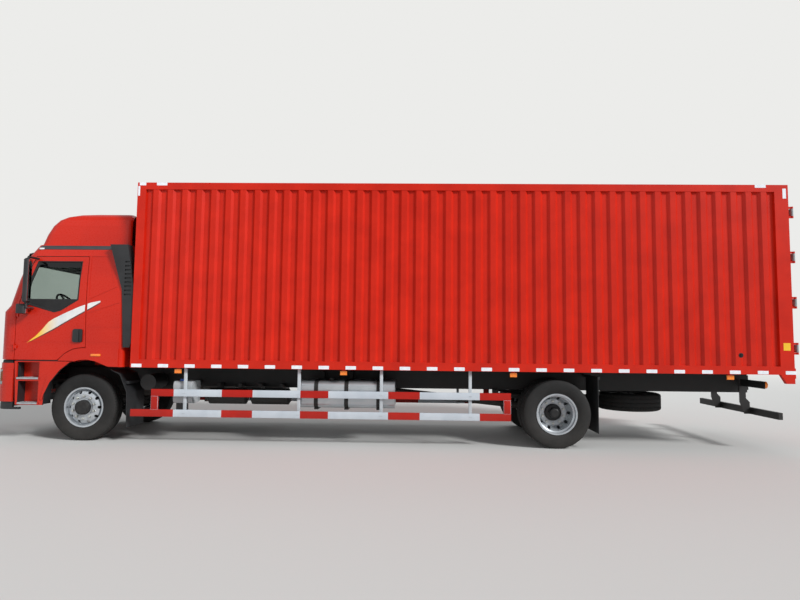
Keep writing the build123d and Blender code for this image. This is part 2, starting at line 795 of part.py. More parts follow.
with BuildPart() as box_wall_left:
    block(wall_rear_x, wall_front_x, wall_inner_y, box_half_width, box_bottom_z, floor_top_z)
    block(wall_rear_x, wall_front_x, wall_inner_y, box_half_width, box_top_z - top_rail_height, box_top_z)
    with BuildSketch(Plane.XY.offset(floor_top_z)):
        valley_y = wall_outer_y - wall_recess
        outline = [(wall_front_x, wall_inner_y), (wall_front_x, valley_y)]
        for k in range(rib_count):
            x = wall_front_x - rib_margin - k * corrugation_pitch
            valley = corrugation_pitch - corrugation_crest - 2 * corrugation_slope
            start = x - valley / 2
            outline.append((start, valley_y))
            outline.append((start - corrugation_slope, wall_outer_y))
            outline.append((start - corrugation_slope - corrugation_crest, wall_outer_y))
            outline.append((start - 2 * corrugation_slope - corrugation_crest, valley_y))
        outline.append((wall_rear_x, valley_y))
        outline.append((wall_rear_x, wall_inner_y))
        Polygon(*outline, align=None)
    extrude(amount=box_top_z - top_rail_height - floor_top_z)
    for x in marker_places:
        block(x - 30, x + 30, marker_inner_y - marker_tab, marker_inner_y, 1040, box_bottom_z)
save(box_wall_left.part, "box_wall_left")
save(mirrored(box_wall_left.part), "box_wall_right")

with BuildPart() as box_front_wall:
    block(wall_front_x, box_front_x, -box_half_width, box_half_width, box_bottom_z, box_top_z)
    y = wall_inner_y
    cut(wall_front_x - 1, box_front_x - 50, -y, y, floor_top_z, box_top_z - header_height)
    panel_half = box_half_width - 110
    panel_low = floor_top_z + 20
    panel_high = box_top_z - header_height - 20
    front_rib_count = int(2 * panel_half / corrugation_pitch)
    with BuildSketch(Plane.XY.offset(panel_low)):
        for k in range(front_rib_count):
            y = (k - (front_rib_count - 1) / 2) * corrugation_pitch
            with Locations((box_front_x, y)):
                Trapezoid(corrugation_pitch - corrugation_crest, 2 * front_rib_depth, 60, rotation=90)
    extrude(amount=panel_high - panel_low, mode=Mode.SUBTRACT)
save(box_front_wall.part, "box_front_wall")

with BuildPart() as box_roof:
    roof_low = box_top_z - roof_drop - roof_thickness
    block(wall_rear_x, wall_front_x, -wall_inner_y, wall_inner_y, roof_low, roof_low + roof_thickness)
    for k in range(rib_count // 2):
        x = wall_front_x - rib_margin - 2 * corrugation_pitch * (k + 0.5)
        y = wall_inner_y - 60
        z = roof_low + roof_thickness
        block(x - 60, x + 60, -y, y, z, z + roof_rib_height)
save(box_roof.part, "box_roof")

# rear frame: posts, header and sill around the doorway, with hinge lugs and pins
doorway_half_width = box_half_width - rear_post_width
doorway_top_z = box_top_z - header_height
hinge_places = [floor_top_z + dz for dz in (260, 930, 1600, 2270)]
hinge_half_height = 55
hinge_pin_x = box_rear_x - hinge_pin_back
lug_height = 30
gusset_width = 60
gusset_drop = 130
buffer_inner_y = 1000
buffer_outer_y = 1160

with BuildPart() as box_rear_frame:
    block(box_rear_x, wall_rear_x, -box_half_width, box_half_width, box_bottom_z, box_top_z)
    y = doorway_half_width
    cut(box_rear_x - 10, wall_rear_x + 10, -y, y, floor_top_z, doorway_top_z)
    for sign in (1, -1):
        gusset = side_plane(sign * box_half_width + (0 if sign > 0 else gusset_width))
        with BuildSketch(gusset):
            Polygon(
                (box_rear_x, box_bottom_z),
                (wall_rear_x, box_bottom_z),
                (box_rear_x + 120, box_bottom_z - gusset_drop),
                (box_rear_x, box_bottom_z - gusset_drop),
                align=None,
            )
        extrude(amount=gusset_width)
        y = sorted((sign * buffer_inner_y, sign * buffer_outer_y))
        block(-overall_length / 2, box_rear_x, *y, box_bottom_z - 60, box_bottom_z + 90)
        for z in hinge_places:
            for low in (z - hinge_half_height - lug_height - 1, z + hinge_half_height + 1):
                y = sorted((sign * (hinge_pin_y - hinge_barrel_radius), sign * hinge_pin_y))
                block(hinge_pin_x - 4, box_rear_x, *y, low, low + lug_height)
                with Locations((hinge_pin_x, sign * hinge_pin_y, low + lug_height / 2)):
                    Cylinder(hinge_barrel_radius, lug_height)
            with Locations((hinge_pin_x, sign * hinge_pin_y, z)):
                Cylinder(hinge_pin_radius, 2 * hinge_half_height + 10)
save(box_rear_frame.part, "box_rear_frame")

# One rear door: a framed panel with pressed ribs, hinge straps with barrels, and two lock rods.
rod_places = (330, 900)
door_panel_count = 5
with BuildPart() as box_door_left:
    door_inner_y = door_gap
    door_outer_y = doorway_half_width - door_gap
    door_low = door_panel_bottom_z
    door_high = doorway_top_z - door_gap
    block(box_rear_x, box_rear_x + door_thickness, door_inner_y, door_outer_y, door_low, door_high)
    for k in range(door_panel_count):
        z = door_low + (k + 0.5) * (door_high - door_low) / door_panel_count
        half = (door_high - door_low) / (2 * door_panel_count) - 50
        cut(box_rear_x - 1, box_rear_x + 12, door_inner_y + 60, door_outer_y - 60, z - half, z + half)
    for z in hinge_places:
        with BuildSketch(Plane.XY.offset(z - hinge_half_height)):
            Polygon(
                (box_rear_x, door_outer_y - 220),
                (box_rear_x, door_outer_y - 6),
                (hinge_pin_x + 9, hinge_pin_y - 2),
                (hinge_pin_x - 2, hinge_pin_y - 12),
                (box_rear_x - 12, door_outer_y - 20),
                (box_rear_x - 12, door_outer_y - 220),
                align=None,
            )
        extrude(amount=2 * hinge_half_height)
        with Locations((hinge_pin_x, hinge_pin_y, z)):
            Cylinder(hinge_barrel_radius, 2 * hinge_half_height)
            Cylinder(hinge_pin_radius + running_gap, 2 * hinge_half_height + 2, mode=Mode.SUBTRACT)
    for y in rod_places:
        x = box_rear_x - rod_standoff - rod_radius
        rod((x, y, door_low - 30), (x, y, door_high + 30), rod_radius)
        for z in (door_low + 100, door_low + 900, door_low + 1300, door_high - 100):
            block(x - rod_radius - 3, box_rear_x, y - 45, y + 45, z - 22, z + 22)
        block(x - 12, x + 2, y - 320, y, door_low + 1040, door_low + 1075)
        block(x - 12, box_rear_x, y - 300, y - 260, door_low + 1030, door_low + 1085)
save(box_door_left.part, "box_door_left")
save(mirrored(box_door_left.part), "box_door_right")

# spare wheel, flat under the frame's tail
spare_x = front_axle_x - 8580
spare_z = 600
spare_plane = Plane(origin=(spare_x, 0, spare_z), x_dir=(0, 0, 1), z_dir=(0, 1, 0))

with BuildPart() as spare_tyre:
    with BuildSketch(spare_plane):
        Polygon(*tyre_outline(0), align=None)
    revolve(axis=Axis((spare_x, 0, spare_z), (0, 0, 1)))
save(spare_tyre.part, "spare_tyre")

spare_well_radius = bead_radius - well_depth - rim_wall
with BuildPart() as spare_rim:
    with BuildSketch(spare_plane):
        Polygon(*rim_outline(0), align=None)
        Polygon(
            (20, spare_well_radius - 9),
            (28, spare_well_radius + 2),
            (85, spare_well_radius - 28),
            (100, 190),
            (100, 60),
            (88, 60),
            (88, 185),
            (74, spare_well_radius - 35),
            align=None,
        )
    revolve(axis=Axis((spare_x, 0, spare_z), (0, 0, 1)))
    hoist_z = spare_z + 100
    block(spare_x - 90, spare_x + 90, -90, 90, hoist_z, hoist_z + 20)
    rod((spare_x, 0, hoist_z + 10), (spare_x, 0, rail_bottom_z + 110), 14)
    block(spare_x - 45, spare_x + 45, -web_y, web_y, rail_bottom_z + 90, rail_bottom_z + 190)
save(spare_rim.part, "spare_rim")

# rear under-run bar, side guards and mudguards
underrun_bar_x = front_axle_x - 10357
underrun_z = 505
underrun_height = 100
underrun_depth = 60
underrun_half_width = 1160

with BuildPart() as rear_underrun:
    bar_front_x = underrun_bar_x + underrun_depth / 2
    bar_low_z = underrun_z - underrun_height / 2
    block(
        bar_front_x - underrun_depth,
        bar_front_x,
        -underrun_half_width,
        underrun_half_width,
        bar_low_z,
        bar_low_z + underrun_height,
    )
    for sign in (1, -1):
        with BuildSketch(side_plane(sign * (rail_outer_y + underrun_plate / 2) + underrun_plate / 2)):
            Polygon(
                (rail_rear_x + 30, rail_bottom_z + 120),
                (rail_rear_x + 130, rail_bottom_z + 120),
                (rail_rear_x + 130, 640),
                (rail_rear_x + 60, bar_low_z),
                (bar_front_x, bar_low_z),
                (bar_front_x, 640),
                (rail_rear_x + 30, 700),
                align=None,
            )
        extrude(amount=underrun_plate)
save(rear_underrun.part, "rear_underrun")

guard_low_z = 392
guard_rail_height = 105
guard_gap_z = 195
guard_front_x = front_axle_x - 790
guard_upper_front_x = front_axle_x - 1090
guard_rear_x = front_axle_x - 6420
guard_high_z = guard_low_z + guard_rail_height + guard_gap_z
guard_post_depth = 30

with BuildPart() as side_guards:
    y0 = guard_outer_y - guard_thickness
    block(guard_rear_x, guard_front_x, y0, guard_outer_y, guard_low_z, guard_low_z + guard_rail_height)
    guard_top_z = guard_high_z + guard_rail_height
    block(guard_rear_x, guard_upper_front_x, y0, guard_outer_y, guard_high_z, guard_top_z)
    for x in (guard_rear_x, guard_upper_front_x - guard_rail_height):
        block(x, x + guard_rail_height, y0, guard_outer_y, guard_low_z, guard_top_z)
    for x in guard_post_places:
        half = guard_post_width / 2
        block(x - half, x + half, y0 - guard_post_depth, y0, guard_low_z, box_bottom_z)
    mirror(about=Plane.XZ)
save(side_guards.part, "side_guards")

mudguard_thickness = 8
mudguard_outer_y = 1190
mudguard_inner_y = 640
flap_low_z = 215
rear_flap_x = front_axle_x - 7690
rear_flap_low_z = 230
rear_flap_high_z = 1050

with BuildPart() as mudguards:
    with BuildSketch(side_plane(mudguard_outer_y)):
        with BuildLine():
            FilletPolyline(
                (front_axle_x - 440, 1075),
                (front_axle_x - 585, 1010),
                (front_axle_x - 700, 740),
                (front_axle_x - 715, flap_low_z),
                radius=60,
            )
            offset(amount=-mudguard_thickness, side=Side.LEFT)
        make_face()
    extrude(amount=mudguard_outer_y - mudguard_inner_y)
    block(front_axle_x - 700, front_axle_x - 644, rail_outer_y, mudguard_outer_y - 60, 860, 900)
    flap_rear_x = rear_flap_x - mudguard_thickness
    block(flap_rear_x, rear_flap_x, mudguard_inner_y, 1230, rear_flap_low_z, rear_flap_high_z)
    block(flap_rear_x - 28, flap_rear_x, rail_outer_y, 1220, rear_flap_high_z - 40, rear_flap_high_z)
    mirror(about=Plane.XZ)
save(mudguards.part, "mudguards")

# Cab sections from the skirt to the roof: height, front, half width, front corner radius.
cab_sections = [
    (cab_skirt_z, front_axle_x + 1372, 1234, 290),
    (1930, front_axle_x + 1362, 1240, 275),
    (2030, front_axle_x + 1272, 1239, 265),
    (2420, front_axle_x + 1160, 1222, 245),
    (2800, front_axle_x + 1040, 1170, 220),
    (cab_roof_z, front_axle_x + 930, 1105, 190),
]
cab_tail_radius = 70


def cab_form(inset, low=cab_skirt_z):
    """The cab's outer form, set in from its outside, from a height upwards."""
    sections = []
    for z, front, half_width, corner in cab_sections:
        top = z - inset if z == cab_roof_z else z
        radius = max(corner - inset, 20)
        tail = max(cab_tail_radius - inset, 8)
        sections.append(nose(top, front - inset, cab_rear_x + inset, half_width - inset, radius, tail))
    with BuildPart() as form:
        loft(sections, ruled=True)
        if low > cab_skirt_z:
            cut(cab_rear_x - 50, beyond_cab_x, -beyond_y, beyond_y, cab_skirt_z - 10, low)
    return form.part


cab_outside = cab_form(0)
cab_skin_inside = cab_form(skin_wall)
cab_inside = cab_form(cab_wall)
glass_inset = 12
glass_thickness = 6
glass_outside = cab_form(glass_inset)
glass_inside = cab_form(glass_inset + glass_thickness)
cab_cavity = cab_form(cab_wall, cab_floor_z)

# Door, window and arch outlines beside the cab, ahead of the front axle and above the road.
door_front = 1010
door_outline = [
    (door_front, 1210),
    (360, 1210),
    (250, 1315),
    (130, 1380),
    (-10, 1404),
    (-58, 1404),
    (-22, 2780),
    (785, 2780),
    (925, 2383),
    (955, 2130),
    (995, 2000),
    (door_front, 1950),
]
window_outline = [
    (900, 2062),
    (850, 2370),
    (750, 2706),
    (72, 2706),
    (84, 2118),
    (340, 1955),
    (440, 1930),
]
arch_lip = [
    (545, 620),
    (530, 690),
    (443, 882),
    (301, 1062),
    (156, 1180),
    (5, 1216),
    (-100, 1222),
    (-223, 1200),
    (-408, 1125),
]
arch_outline = [(545, 500)] + arch_lip + [(-430, 1090), (-430, 500)]
# The arch's raised band ends along these outer points, from the step panel over the wheel.
flare_outline = [
    (572, 620),
    (564, 690),
    (483, 986),
    (344, 1195),
    (250, 1285),
    (161, 1347),
    (40, 1382),
    (-65, 1388),
    (-575, 1388),
    (-575, 1120),
]
flare_depth = 14

# The blank window pressed into the cab's rear quarter, and pressed lines: ends and height.
blank_outline = [
    (-62, 2788),
    (-335, 2788),
    (-432, 2426),
    (-452, 2338),
    (-86, 2172),
]
press_depth = 5
press_lines = [
    (-76, 1476, -575, 1476),
    (-76, 1706, -585, 1706),
    (-78, 1912, -560, 2078),
    (-78, 2120, -500, 2316),
    (150, 1476, 880, 1476),
]
press_width = 10
inner_rebate = 26


def beside(points):
    """Outline points moved from the front axle to the truck's own frame."""
    return [(front_axle_x + x, z) for x, z in points]


def outline_prism(points, y0, y1, grow=0):
    """A prism across the truck with an outline beside it, grown or shrunk by an amount."""
    with BuildPart() as prism:
        with BuildSketch(side_plane(y1)):
            Polygon(*beside(points), align=None)
            if grow:
                offset(amount=grow, kind=Kind.INTERSECTION)
        extrude(amount=y1 - y0)
    return prism.part


# steps below the doors
step_outer_y = 1237
step_skin = 25
step_inner_y = 950
step_front_x = front_axle_x + 1000
step_rear_x = front_axle_x + 600
step_bottom_z = 540
step_top_z = 1190
step_ledge = 8

# Each step: low and high side of its recess, its rear and front end.
step_recesses = [
    (575, 895, 20, 330),
    (945, step_top_z - 14, 20, 360),
]


def flare_band(rear, front, low, high, inner_y):
    """The arch's raised band within a length and two heights, from a depth in the panel outwards."""
    outer_y = step_outer_y + flare_depth
    with BuildPart() as band:
        with BuildSketch(side_plane(outer_y)):
            Polygon(*beside(flare_outline + list(reversed(arch_lip))), align=None)
        extrude(amount=outer_y - inner_y)
        block(front_axle_x + rear, front_axle_x + front, inner_y, outer_y, low, high, mode=Mode.INTERSECT)
    return band.part


with BuildPart() as cab_steps:
    with BuildSketch(side_plane(step_outer_y)):
        Polygon(
            (step_front_x - 40, step_bottom_z),
            (step_front_x, step_top_z),
            *beside([(150, step_top_z), (301, 1062), (443, 882), (530, 690), (545, step_bottom_z)]),
            align=None,
        )
    extrude(amount=step_skin)
    block(step_rear_x, step_front_x - 40, step_inner_y, step_outer_y - step_skin, step_bottom_z, step_top_z)
    for low, high, back, front in step_recesses:
        cut(step_rear_x + back, step_rear_x + front, step_outer_y - 170, step_outer_y + 1, low, high)
        block(step_rear_x, step_rear_x + front, step_outer_y - 160, step_outer_y + step_ledge, low - 22, low)
    block(step_rear_x + 60, step_front_x - 60, rail_outer_y, step_inner_y, 880, 960)
    add(flare_band(135, 700, 620, step_top_z, step_outer_y - step_skin))
    mirror(about=Plane.XZ)
save(cab_steps.part, "cab_steps")

windscreen_outline = [(-1010, 2085), (1010, 2085), (940, 2800), (-940, 2800)]
grille_half_width = 860
grille_low_z = 1240
grille_high_z = 1935
grille_gap = 8
grille_wall = 40
grille_slots = ((1300, 1370), (1430, 1500), (1560, 1630))
grille_slot_half_width = 700
screen_rebate = 8
# the prisms that cut the cab's front reach from these places to beyond its nose
screen_reach_x = front_axle_x + 700
hatch_reach_x = front_axle_x + 1000
front_reach_x = front_axle_x + 1400
hatch_depth = 48


def front_prism(points, x0, x1, grow=0):
    """A prism along the truck with an outline in front of it, grown by an amount."""
    with BuildPart() as prism:
        with BuildSketch(Plane(origin=(x0, 0, 0), x_dir=(0, 1, 0), z_dir=(1, 0, 0))):
            Polygon(*points, align=None)
            if grow:
                offset(amount=grow, kind=Kind.INTERSECTION)
        extrude(amount=x1 - x0)
    return prism.part


grille_outline = [
    (-grille_half_width, grille_low_z),
    (grille_half_width, grille_low_z),
    (grille_half_width, grille_high_z),
    (-grille_half_width, grille_high_z),
]
door_prism = outline_prism(door_outline, 1000, 1300)
door_inner_prism = outline_prism(door_outline, 1000, 1300, -inner_rebate)
door_opening = outline_prism(door_outline, 1040, 1300, shut_gap)
window_prism = outline_prism(window_outline, 1000, 1300)
window_glass_prism = outline_prism(window_outline, 1000, 1300, screen_rebate)
arch_prism = outline_prism(arch_outline, 600, 1300)
screen_hole = front_prism(windscreen_outline, screen_reach_x, front_reach_x)
screen_seat = front_prism(windscreen_outline, screen_reach_x, front_reach_x, screen_rebate)
with BuildPart() as hatch_recess:
    add(cab_outside)
    add(cab_form(hatch_depth), mode=Mode.SUBTRACT)
    add(front_prism(grille_outline, hatch_reach_x, front_reach_x, grille_gap), mode=Mode.INTERSECT)

# what is pressed into the cab's sides
with BuildPart() as pressings:
    with BuildSketch(side_plane(1300)):
        Polygon(*beside(blank_outline), align=None)
        for x0, z0, x1, z1 in press_lines:
            half = press_width / 2
            Polygon(*beside([(x0, z0 - half), (x0, z0 + half), (x1, z1 + half), (x1, z1 - half)]), align=None)
    extrude(amount=250)
    add(cab_form(press_depth), mode=Mode.SUBTRACT)
hatch_prism = front_prism(grille_outline, hatch_reach_x, front_reach_x)
hatch_slots = []
for low, high in grille_slots:
    half = grille_slot_half_width
    slot_outline = [(-half, low), (half, low), (half, high), (-half, high)]
    hatch_slots.append(front_prism(slot_outline, hatch_reach_x, front_reach_x))
hatch_inside = cab_form(grille_wall)

with BuildPart() as windscreen:
    add(glass_outside)
    add(glass_inside, mode=Mode.SUBTRACT)
    add(screen_seat, mode=Mode.INTERSECT)
save(windscreen.part, "windscreen")

with BuildPart() as door_glass_left:
    add(glass_outside)
    add(glass_inside, mode=Mode.SUBTRACT)
    add(window_glass_prism, mode=Mode.INTERSECT)
save(door_glass_left.part, "door_glass_left")
save(mirrored(door_glass_left.part), "door_glass_right")

door_pivot_x = front_axle_x + door_front + 7
door_pivot_y = 1252
door_hinge_radius = 9
door_pin_radius = 4
door_hinge_height = 50
door_hinge_places = (1400, 1880)
lid_pivot_x = front_axle_x + 1365
lid_pivot_z = 1938
lid_hinge_places = (-500, 500)
lid_hinge_half_length = 30

with BuildPart() as door_lining:
    add(cab_skin_inside)
    add(cab_inside, mode=Mode.SUBTRACT)
    add(door_inner_prism, mode=Mode.INTERSECT)

with BuildPart() as cab_door_left:
    add(cab_outside)
    add(cab_skin_inside, mode=Mode.SUBTRACT)
    add(door_prism, mode=Mode.INTERSECT)
    add(door_lining.part)
    add(window_prism, mode=Mode.SUBTRACT)
    add(door_glass_left.part, mode=Mode.SUBTRACT)
    add(pressings.part, mode=Mode.SUBTRACT)
    for z in door_hinge_places:
        half = door_hinge_height / 2
        block(door_pivot_x - 40, door_pivot_x, door_pivot_y - 25, door_pivot_y, z - half, z + half)
        with Locations((door_pivot_x, door_pivot_y, z)):
            Cylinder(door_hinge_radius, door_hinge_height)
            Cylinder(door_pin_radius + running_gap, door_hinge_height + 2, mode=Mode.SUBTRACT)
save(cab_door_left.part, "cab_door_left")
save(mirrored(cab_door_left.part), "cab_door_right")

flare_rear = flare_band(-600, 100, cab_skirt_z, 1400, 1180)
flare_front = flare_band(100, 700, cab_bottom_z - 10, 1400, 1180)
with BuildPart() as grille_lid:
    add(cab_outside)
    add(hatch_inside, mode=Mode.SUBTRACT)
    add(hatch_prism, mode=Mode.INTERSECT)
    for slot in hatch_slots:
        add(slot, mode=Mode.SUBTRACT)
    for y in lid_hinge_places:
        half = lid_hinge_half_length
        block(lid_pivot_x - 45, lid_pivot_x, y - half, y + half, lid_pivot_z - 20, lid_pivot_z)
        rod((lid_pivot_x, y - half, lid_pivot_z), (lid_pivot_x, y + half, lid_pivot_z), door_hinge_radius)
        ends = [(lid_pivot_x, y + end, lid_pivot_z) for end in (-half - 1, half + 1)]
        rod(*ends, door_pin_radius + running_gap, mode=Mode.SUBTRACT)
save(grille_lid.part, "grille_lid")

with BuildPart() as cab_shell:
    add(cab_outside)
    add(cab_cavity, mode=Mode.SUBTRACT)
    below_z = cab_skirt_z - 15
    cut(cab_rear_x - 50, beyond_cab_x, -tunnel_half_width, tunnel_half_width, below_z, tunnel_top_z)
    cut(front_axle_x + 130, beyond_cab_x, -beyond_y, beyond_y, below_z, cab_bottom_z)
    for hole in (arch_prism, mirrored(arch_prism), door_opening, mirrored(door_opening)):
        add(hole, mode=Mode.SUBTRACT)
    add(screen_hole, mode=Mode.SUBTRACT)
    add(windscreen.part, mode=Mode.SUBTRACT)
    add(hatch_recess.part, mode=Mode.SUBTRACT)
    add(pressings.part, mode=Mode.SUBTRACT)
    add(mirrored(pressings.part), mode=Mode.SUBTRACT)
    for band in (flare_rear, flare_front):
        add(band)
        add(mirrored(band))
    for sign in (1, -1):
        with BuildSketch(side_plane(sign * 470 + 15)):
            Polygon(
                (cab_pivot_x - 40, cab_pivot_z - 20),
                (cab_pivot_x + 30, cab_pivot_z - 25),
                (cab_pivot_x + 38, cab_pivot_z + 15),
                (front_axle_x + 1050, cab_bottom_z),
                (front_axle_x + 850, cab_bottom_z),
                align=None,
            )
        extrude(amount=30)
    for sign in (1, -1):
        ends = [(cab_pivot_x, sign * y, cab_pivot_z) for y in (452, 488)]
        rod(*ends, cab_pin_radius + running_gap, mode=Mode.SUBTRACT)
    for sign in (1, -1):
        for z in door_hinge_places:
            half = door_hinge_height / 2
            with Locations((door_pivot_x, sign * door_pivot_y, z)):
                Cylinder(door_pin_radius, door_hinge_height + 12)
            for middle in (z - half - 12, z + half + 12):
                y = sorted((sign * (door_pivot_y - 45), sign * door_pivot_y))
                block(door_pivot_x, door_pivot_x + 40, *y, middle - 10, middle + 10)
                with Locations((door_pivot_x, sign * door_pivot_y, middle)):
                    Cylinder(door_hinge_radius, 20)
    for y in lid_hinge_places:
        half = lid_hinge_half_length
        ends = [(lid_pivot_x, y + end, lid_pivot_z) for end in (-half - 6, half + 6)]
        rod(*ends, door_pin_radius)
        for middle in (y - half - 12, y + half + 12):
            block(lid_pivot_x - 60, lid_pivot_x, middle - 10, middle + 10, lid_pivot_z, lid_pivot_z + 24)
            ends = [(lid_pivot_x, middle + end, lid_pivot_z) for end in (-10, 10)]
            rod(*ends, door_hinge_radius)
save(cab_shell.part, "cab_shell")

# roof deflector, side fairings, sun visor and mirrors
deflector_wall = 12
deflector_foot_height = 40

# Deflector sections from its foot to its top: height, front and rear from the axle, half width, corner.
deflector_sections = [
    (cab_roof_z, 900, -625, 1085, 190),
    (3150, 838, -612, 1070, 185),
    (3290, 765, -600, 1050, 180),
    (3385, 680, -588, 1022, 170),
    (3440, 580, -570, 985, 160),
    (3478, 420, -545, 935, 150),
    (3500, 210, -515, 870, 140),
]
deflector_tail_radius = 60


def deflector_form(inset):
    """The roof deflector's outer form, set in from its outside."""
    sections = []
    for z, front, rear, half_width, corner in deflector_sections:
        ends = beside([(front - inset, 0), (rear - inset, 0)])
        half_width = half_width - inset
        sections.append(nose(z - inset, ends[0][0], ends[1][0], half_width, corner, deflector_tail_radius))
    with BuildPart() as form:
        loft(sections, ruled=True)
    return form.part


deflector_outside = deflector_form(0)
deflector_inside = deflector_form(deflector_wall)
with BuildPart() as roof_deflector:
    add(deflector_outside)
    add(deflector_inside, mode=Mode.SUBTRACT)
    for x, z in beside([(-490, cab_roof_z), (340, cab_roof_z)]):
        block(x - 20, x + 20, -700, 700, z, z + deflector_foot_height)
save(roof_deflector.part, "roof_deflector")

fairing_rear_x = front_axle_x - 755
fairing_outer_y = 1250
louvre_count = 9
louvre_low_z = 2190
louvre_pitch = 62
louvre_length = 105
louvre_depth = 16
louvre_height = 26
with BuildPart() as side_fairings:
    with BuildSketch(side_plane(fairing_outer_y)):
        Polygon(
            (front_axle_x - 378, 2965),
            (front_axle_x - 585, 2270),
            (front_axle_x - 636, 1410),
            (fairing_rear_x + 20, 1410),
            (fairing_rear_x, 1480),
            (fairing_rear_x, 2350),
            (fairing_rear_x + 105, 2965),
            align=None,
        )
    extrude(amount=150)
    for k in range(louvre_count):
        z = louvre_low_z + k * louvre_pitch
        x = fairing_rear_x + 30
        y = fairing_outer_y - louvre_depth
        cut(x, x + louvre_length, y, fairing_outer_y + 1, z, z + louvre_height)
    mirror(about=Plane.XZ)
    add(cab_outside, mode=Mode.SUBTRACT)
save(side_fairings.part, "side_fairings")

with BuildPart() as sun_visor:
    with BuildSketch(side_plane(930)):
        Polygon(
            (front_axle_x + 900, 2905),
            (front_axle_x + 1075, 2862),
            (front_axle_x + 1135, 2700),
            (front_axle_x + 1130, 2695),
            (front_axle_x + 1068, 2855),
            (front_axle_x + 900, 2895),
            align=None,
        )
    extrude(amount=1860)
    for y in (-850, -280, 280, 850):
        block(front_axle_x + 940, front_axle_x + 1075, y - 12, y + 12, 2835, 2866)
    add(cab_outside, mode=Mode.SUBTRACT)
save(sun_visor.part, "sun_visor")

mirror_x = front_axle_x + 775
mirror_y = 1390
mirror_low_z = 2060
mirror_high_z = 2720
mirror_depth = 80
mirror_width = 190
mirror_turn = 20
mirror_arm_radius = 16
near_mirror_height = 140

with BuildPart() as mirror_left:
    with BuildSketch(Plane(origin=(mirror_x, mirror_y, mirror_low_z), z_dir=(0, 0, 1))):
        RectangleRounded(mirror_depth, mirror_width, 34, rotation=mirror_turn)
    extrude(amount=mirror_high_z - mirror_low_z)
    for face in (mirror_left.faces().sort_by(Axis.Z)[-1], mirror_left.faces().sort_by(Axis.Z)[0]):
        chamfer(face.edges(), length=22)
    near_mirror_z = mirror_low_z - 20 - near_mirror_height
    with BuildSketch(Plane(origin=(mirror_x + 90, mirror_y - 60, near_mirror_z), z_dir=(0, 0, 1))):
        RectangleRounded(150, 190, 60, rotation=mirror_turn)
    extrude(amount=near_mirror_height)
    arm_high_z = mirror_high_z + 25
    arm_low_z = mirror_low_z - 75
    for z, end_y in ((arm_high_z, 1120), (arm_low_z, 1200)):
        inner = (mirror_x - 20, end_y, z)
        rod((mirror_x, mirror_y, z), inner, mirror_arm_radius)
    rod((mirror_x, mirror_y, arm_low_z), (mirror_x, mirror_y, arm_high_z), mirror_arm_radius)
    add(cab_outside, mode=Mode.SUBTRACT)
save(mirror_left.part, "mirror_left")
save(mirrored(mirror_left.part), "mirror_right")

# door handles, set on the doors' skin
handle_rear_x = front_axle_x - 14
handle_width = 142
handle_low_z = 1478
handle_height = 200
handle_proud = 11
handle_groove = 32

with BuildPart() as door_handle_left:
    with BuildSketch(side_plane(door_pivot_y + handle_proud)):
        with Locations((handle_rear_x + handle_width / 2, handle_low_z + handle_height / 2)):
            RectangleRounded(handle_width, handle_height, 30)
    extrude(amount=60)
    add(cab_outside, mode=Mode.SUBTRACT)
    x = handle_rear_x + 18
    z = handle_low_z + handle_height
    cut(x, x + handle_groove, door_pivot_y + 1, door_pivot_y + 40, handle_low_z - 1, z + 1)
save(door_handle_left.part, "door_handle_left")
save(mirrored(door_handle_left.part), "door_handle_right")

# inside the cab
seat_top_z = cab_floor_z + 430
cushion_thickness = 130
backrest_height = 620
headrest_height = 170
bunk_height = 380
seat_places = ((front_axle_x + 250, 560), (front_axle_x + 250, -560))

with BuildPart() as seats:
    for x, y in seat_places:
        cushion_z = seat_top_z - cushion_thickness
        block(x - 170, x + 170, y - 180, y + 180, cab_floor_z, cushion_z)
        block(x - 250, x + 250, y - 250, y + 250, cushion_z, seat_top_z)
        block(x - 370, x - 250, y - 240, y + 240, seat_top_z - 100, seat_top_z + backrest_height)
        headrest_z = seat_top_z + backrest_height
        block(x - 350, x - 260, y - 140, y + 140, headrest_z, headrest_z + headrest_height)
    bunk_rear_x = cab_rear_x + cab_wall + 10
    block(bunk_rear_x, bunk_rear_x + 450, -1050, 1050, cab_floor_z, cab_floor_z + bunk_height)
save(seats.part, "seats")

dash_rear_x = front_axle_x + 860
wheel_radius = 230
wheel_centre = (front_axle_x + 640, 560, cab_floor_z + 640)
with BuildPart() as dashboard:
    with BuildSketch(side_plane(1000)):
        Polygon(
            (dash_rear_x, cab_floor_z + 330),
            (dash_rear_x - 30, cab_floor_z + 560),
            (dash_rear_x + 40, cab_floor_z + 610),
            (front_axle_x + 1100, cab_floor_z + 600),
            (front_axle_x + 1120, cab_floor_z),
            (front_axle_x + 1040, cab_floor_z),
            (front_axle_x + 1000, cab_floor_z + 300),
            align=None,
        )
    extrude(amount=2000)
    column_end = (dash_rear_x + 60, 560, cab_floor_z + 440)
    rod(wheel_centre, column_end, 28)
    tilt = Plane(origin=wheel_centre, z_dir=Vector(*column_end) - Vector(*wheel_centre))
    with Locations(tilt):
        Torus(wheel_radius, 16)
        Box(2 * wheel_radius, 40, 16)
        Cylinder(70, 40)
    add(cab_shell.part, mode=Mode.SUBTRACT)
save(dashboard.part, "dashboard")
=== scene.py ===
import bpy
import bmesh
import math
from mathutils import Matrix, Vector
from mathutils.bvhtree import BVHTree


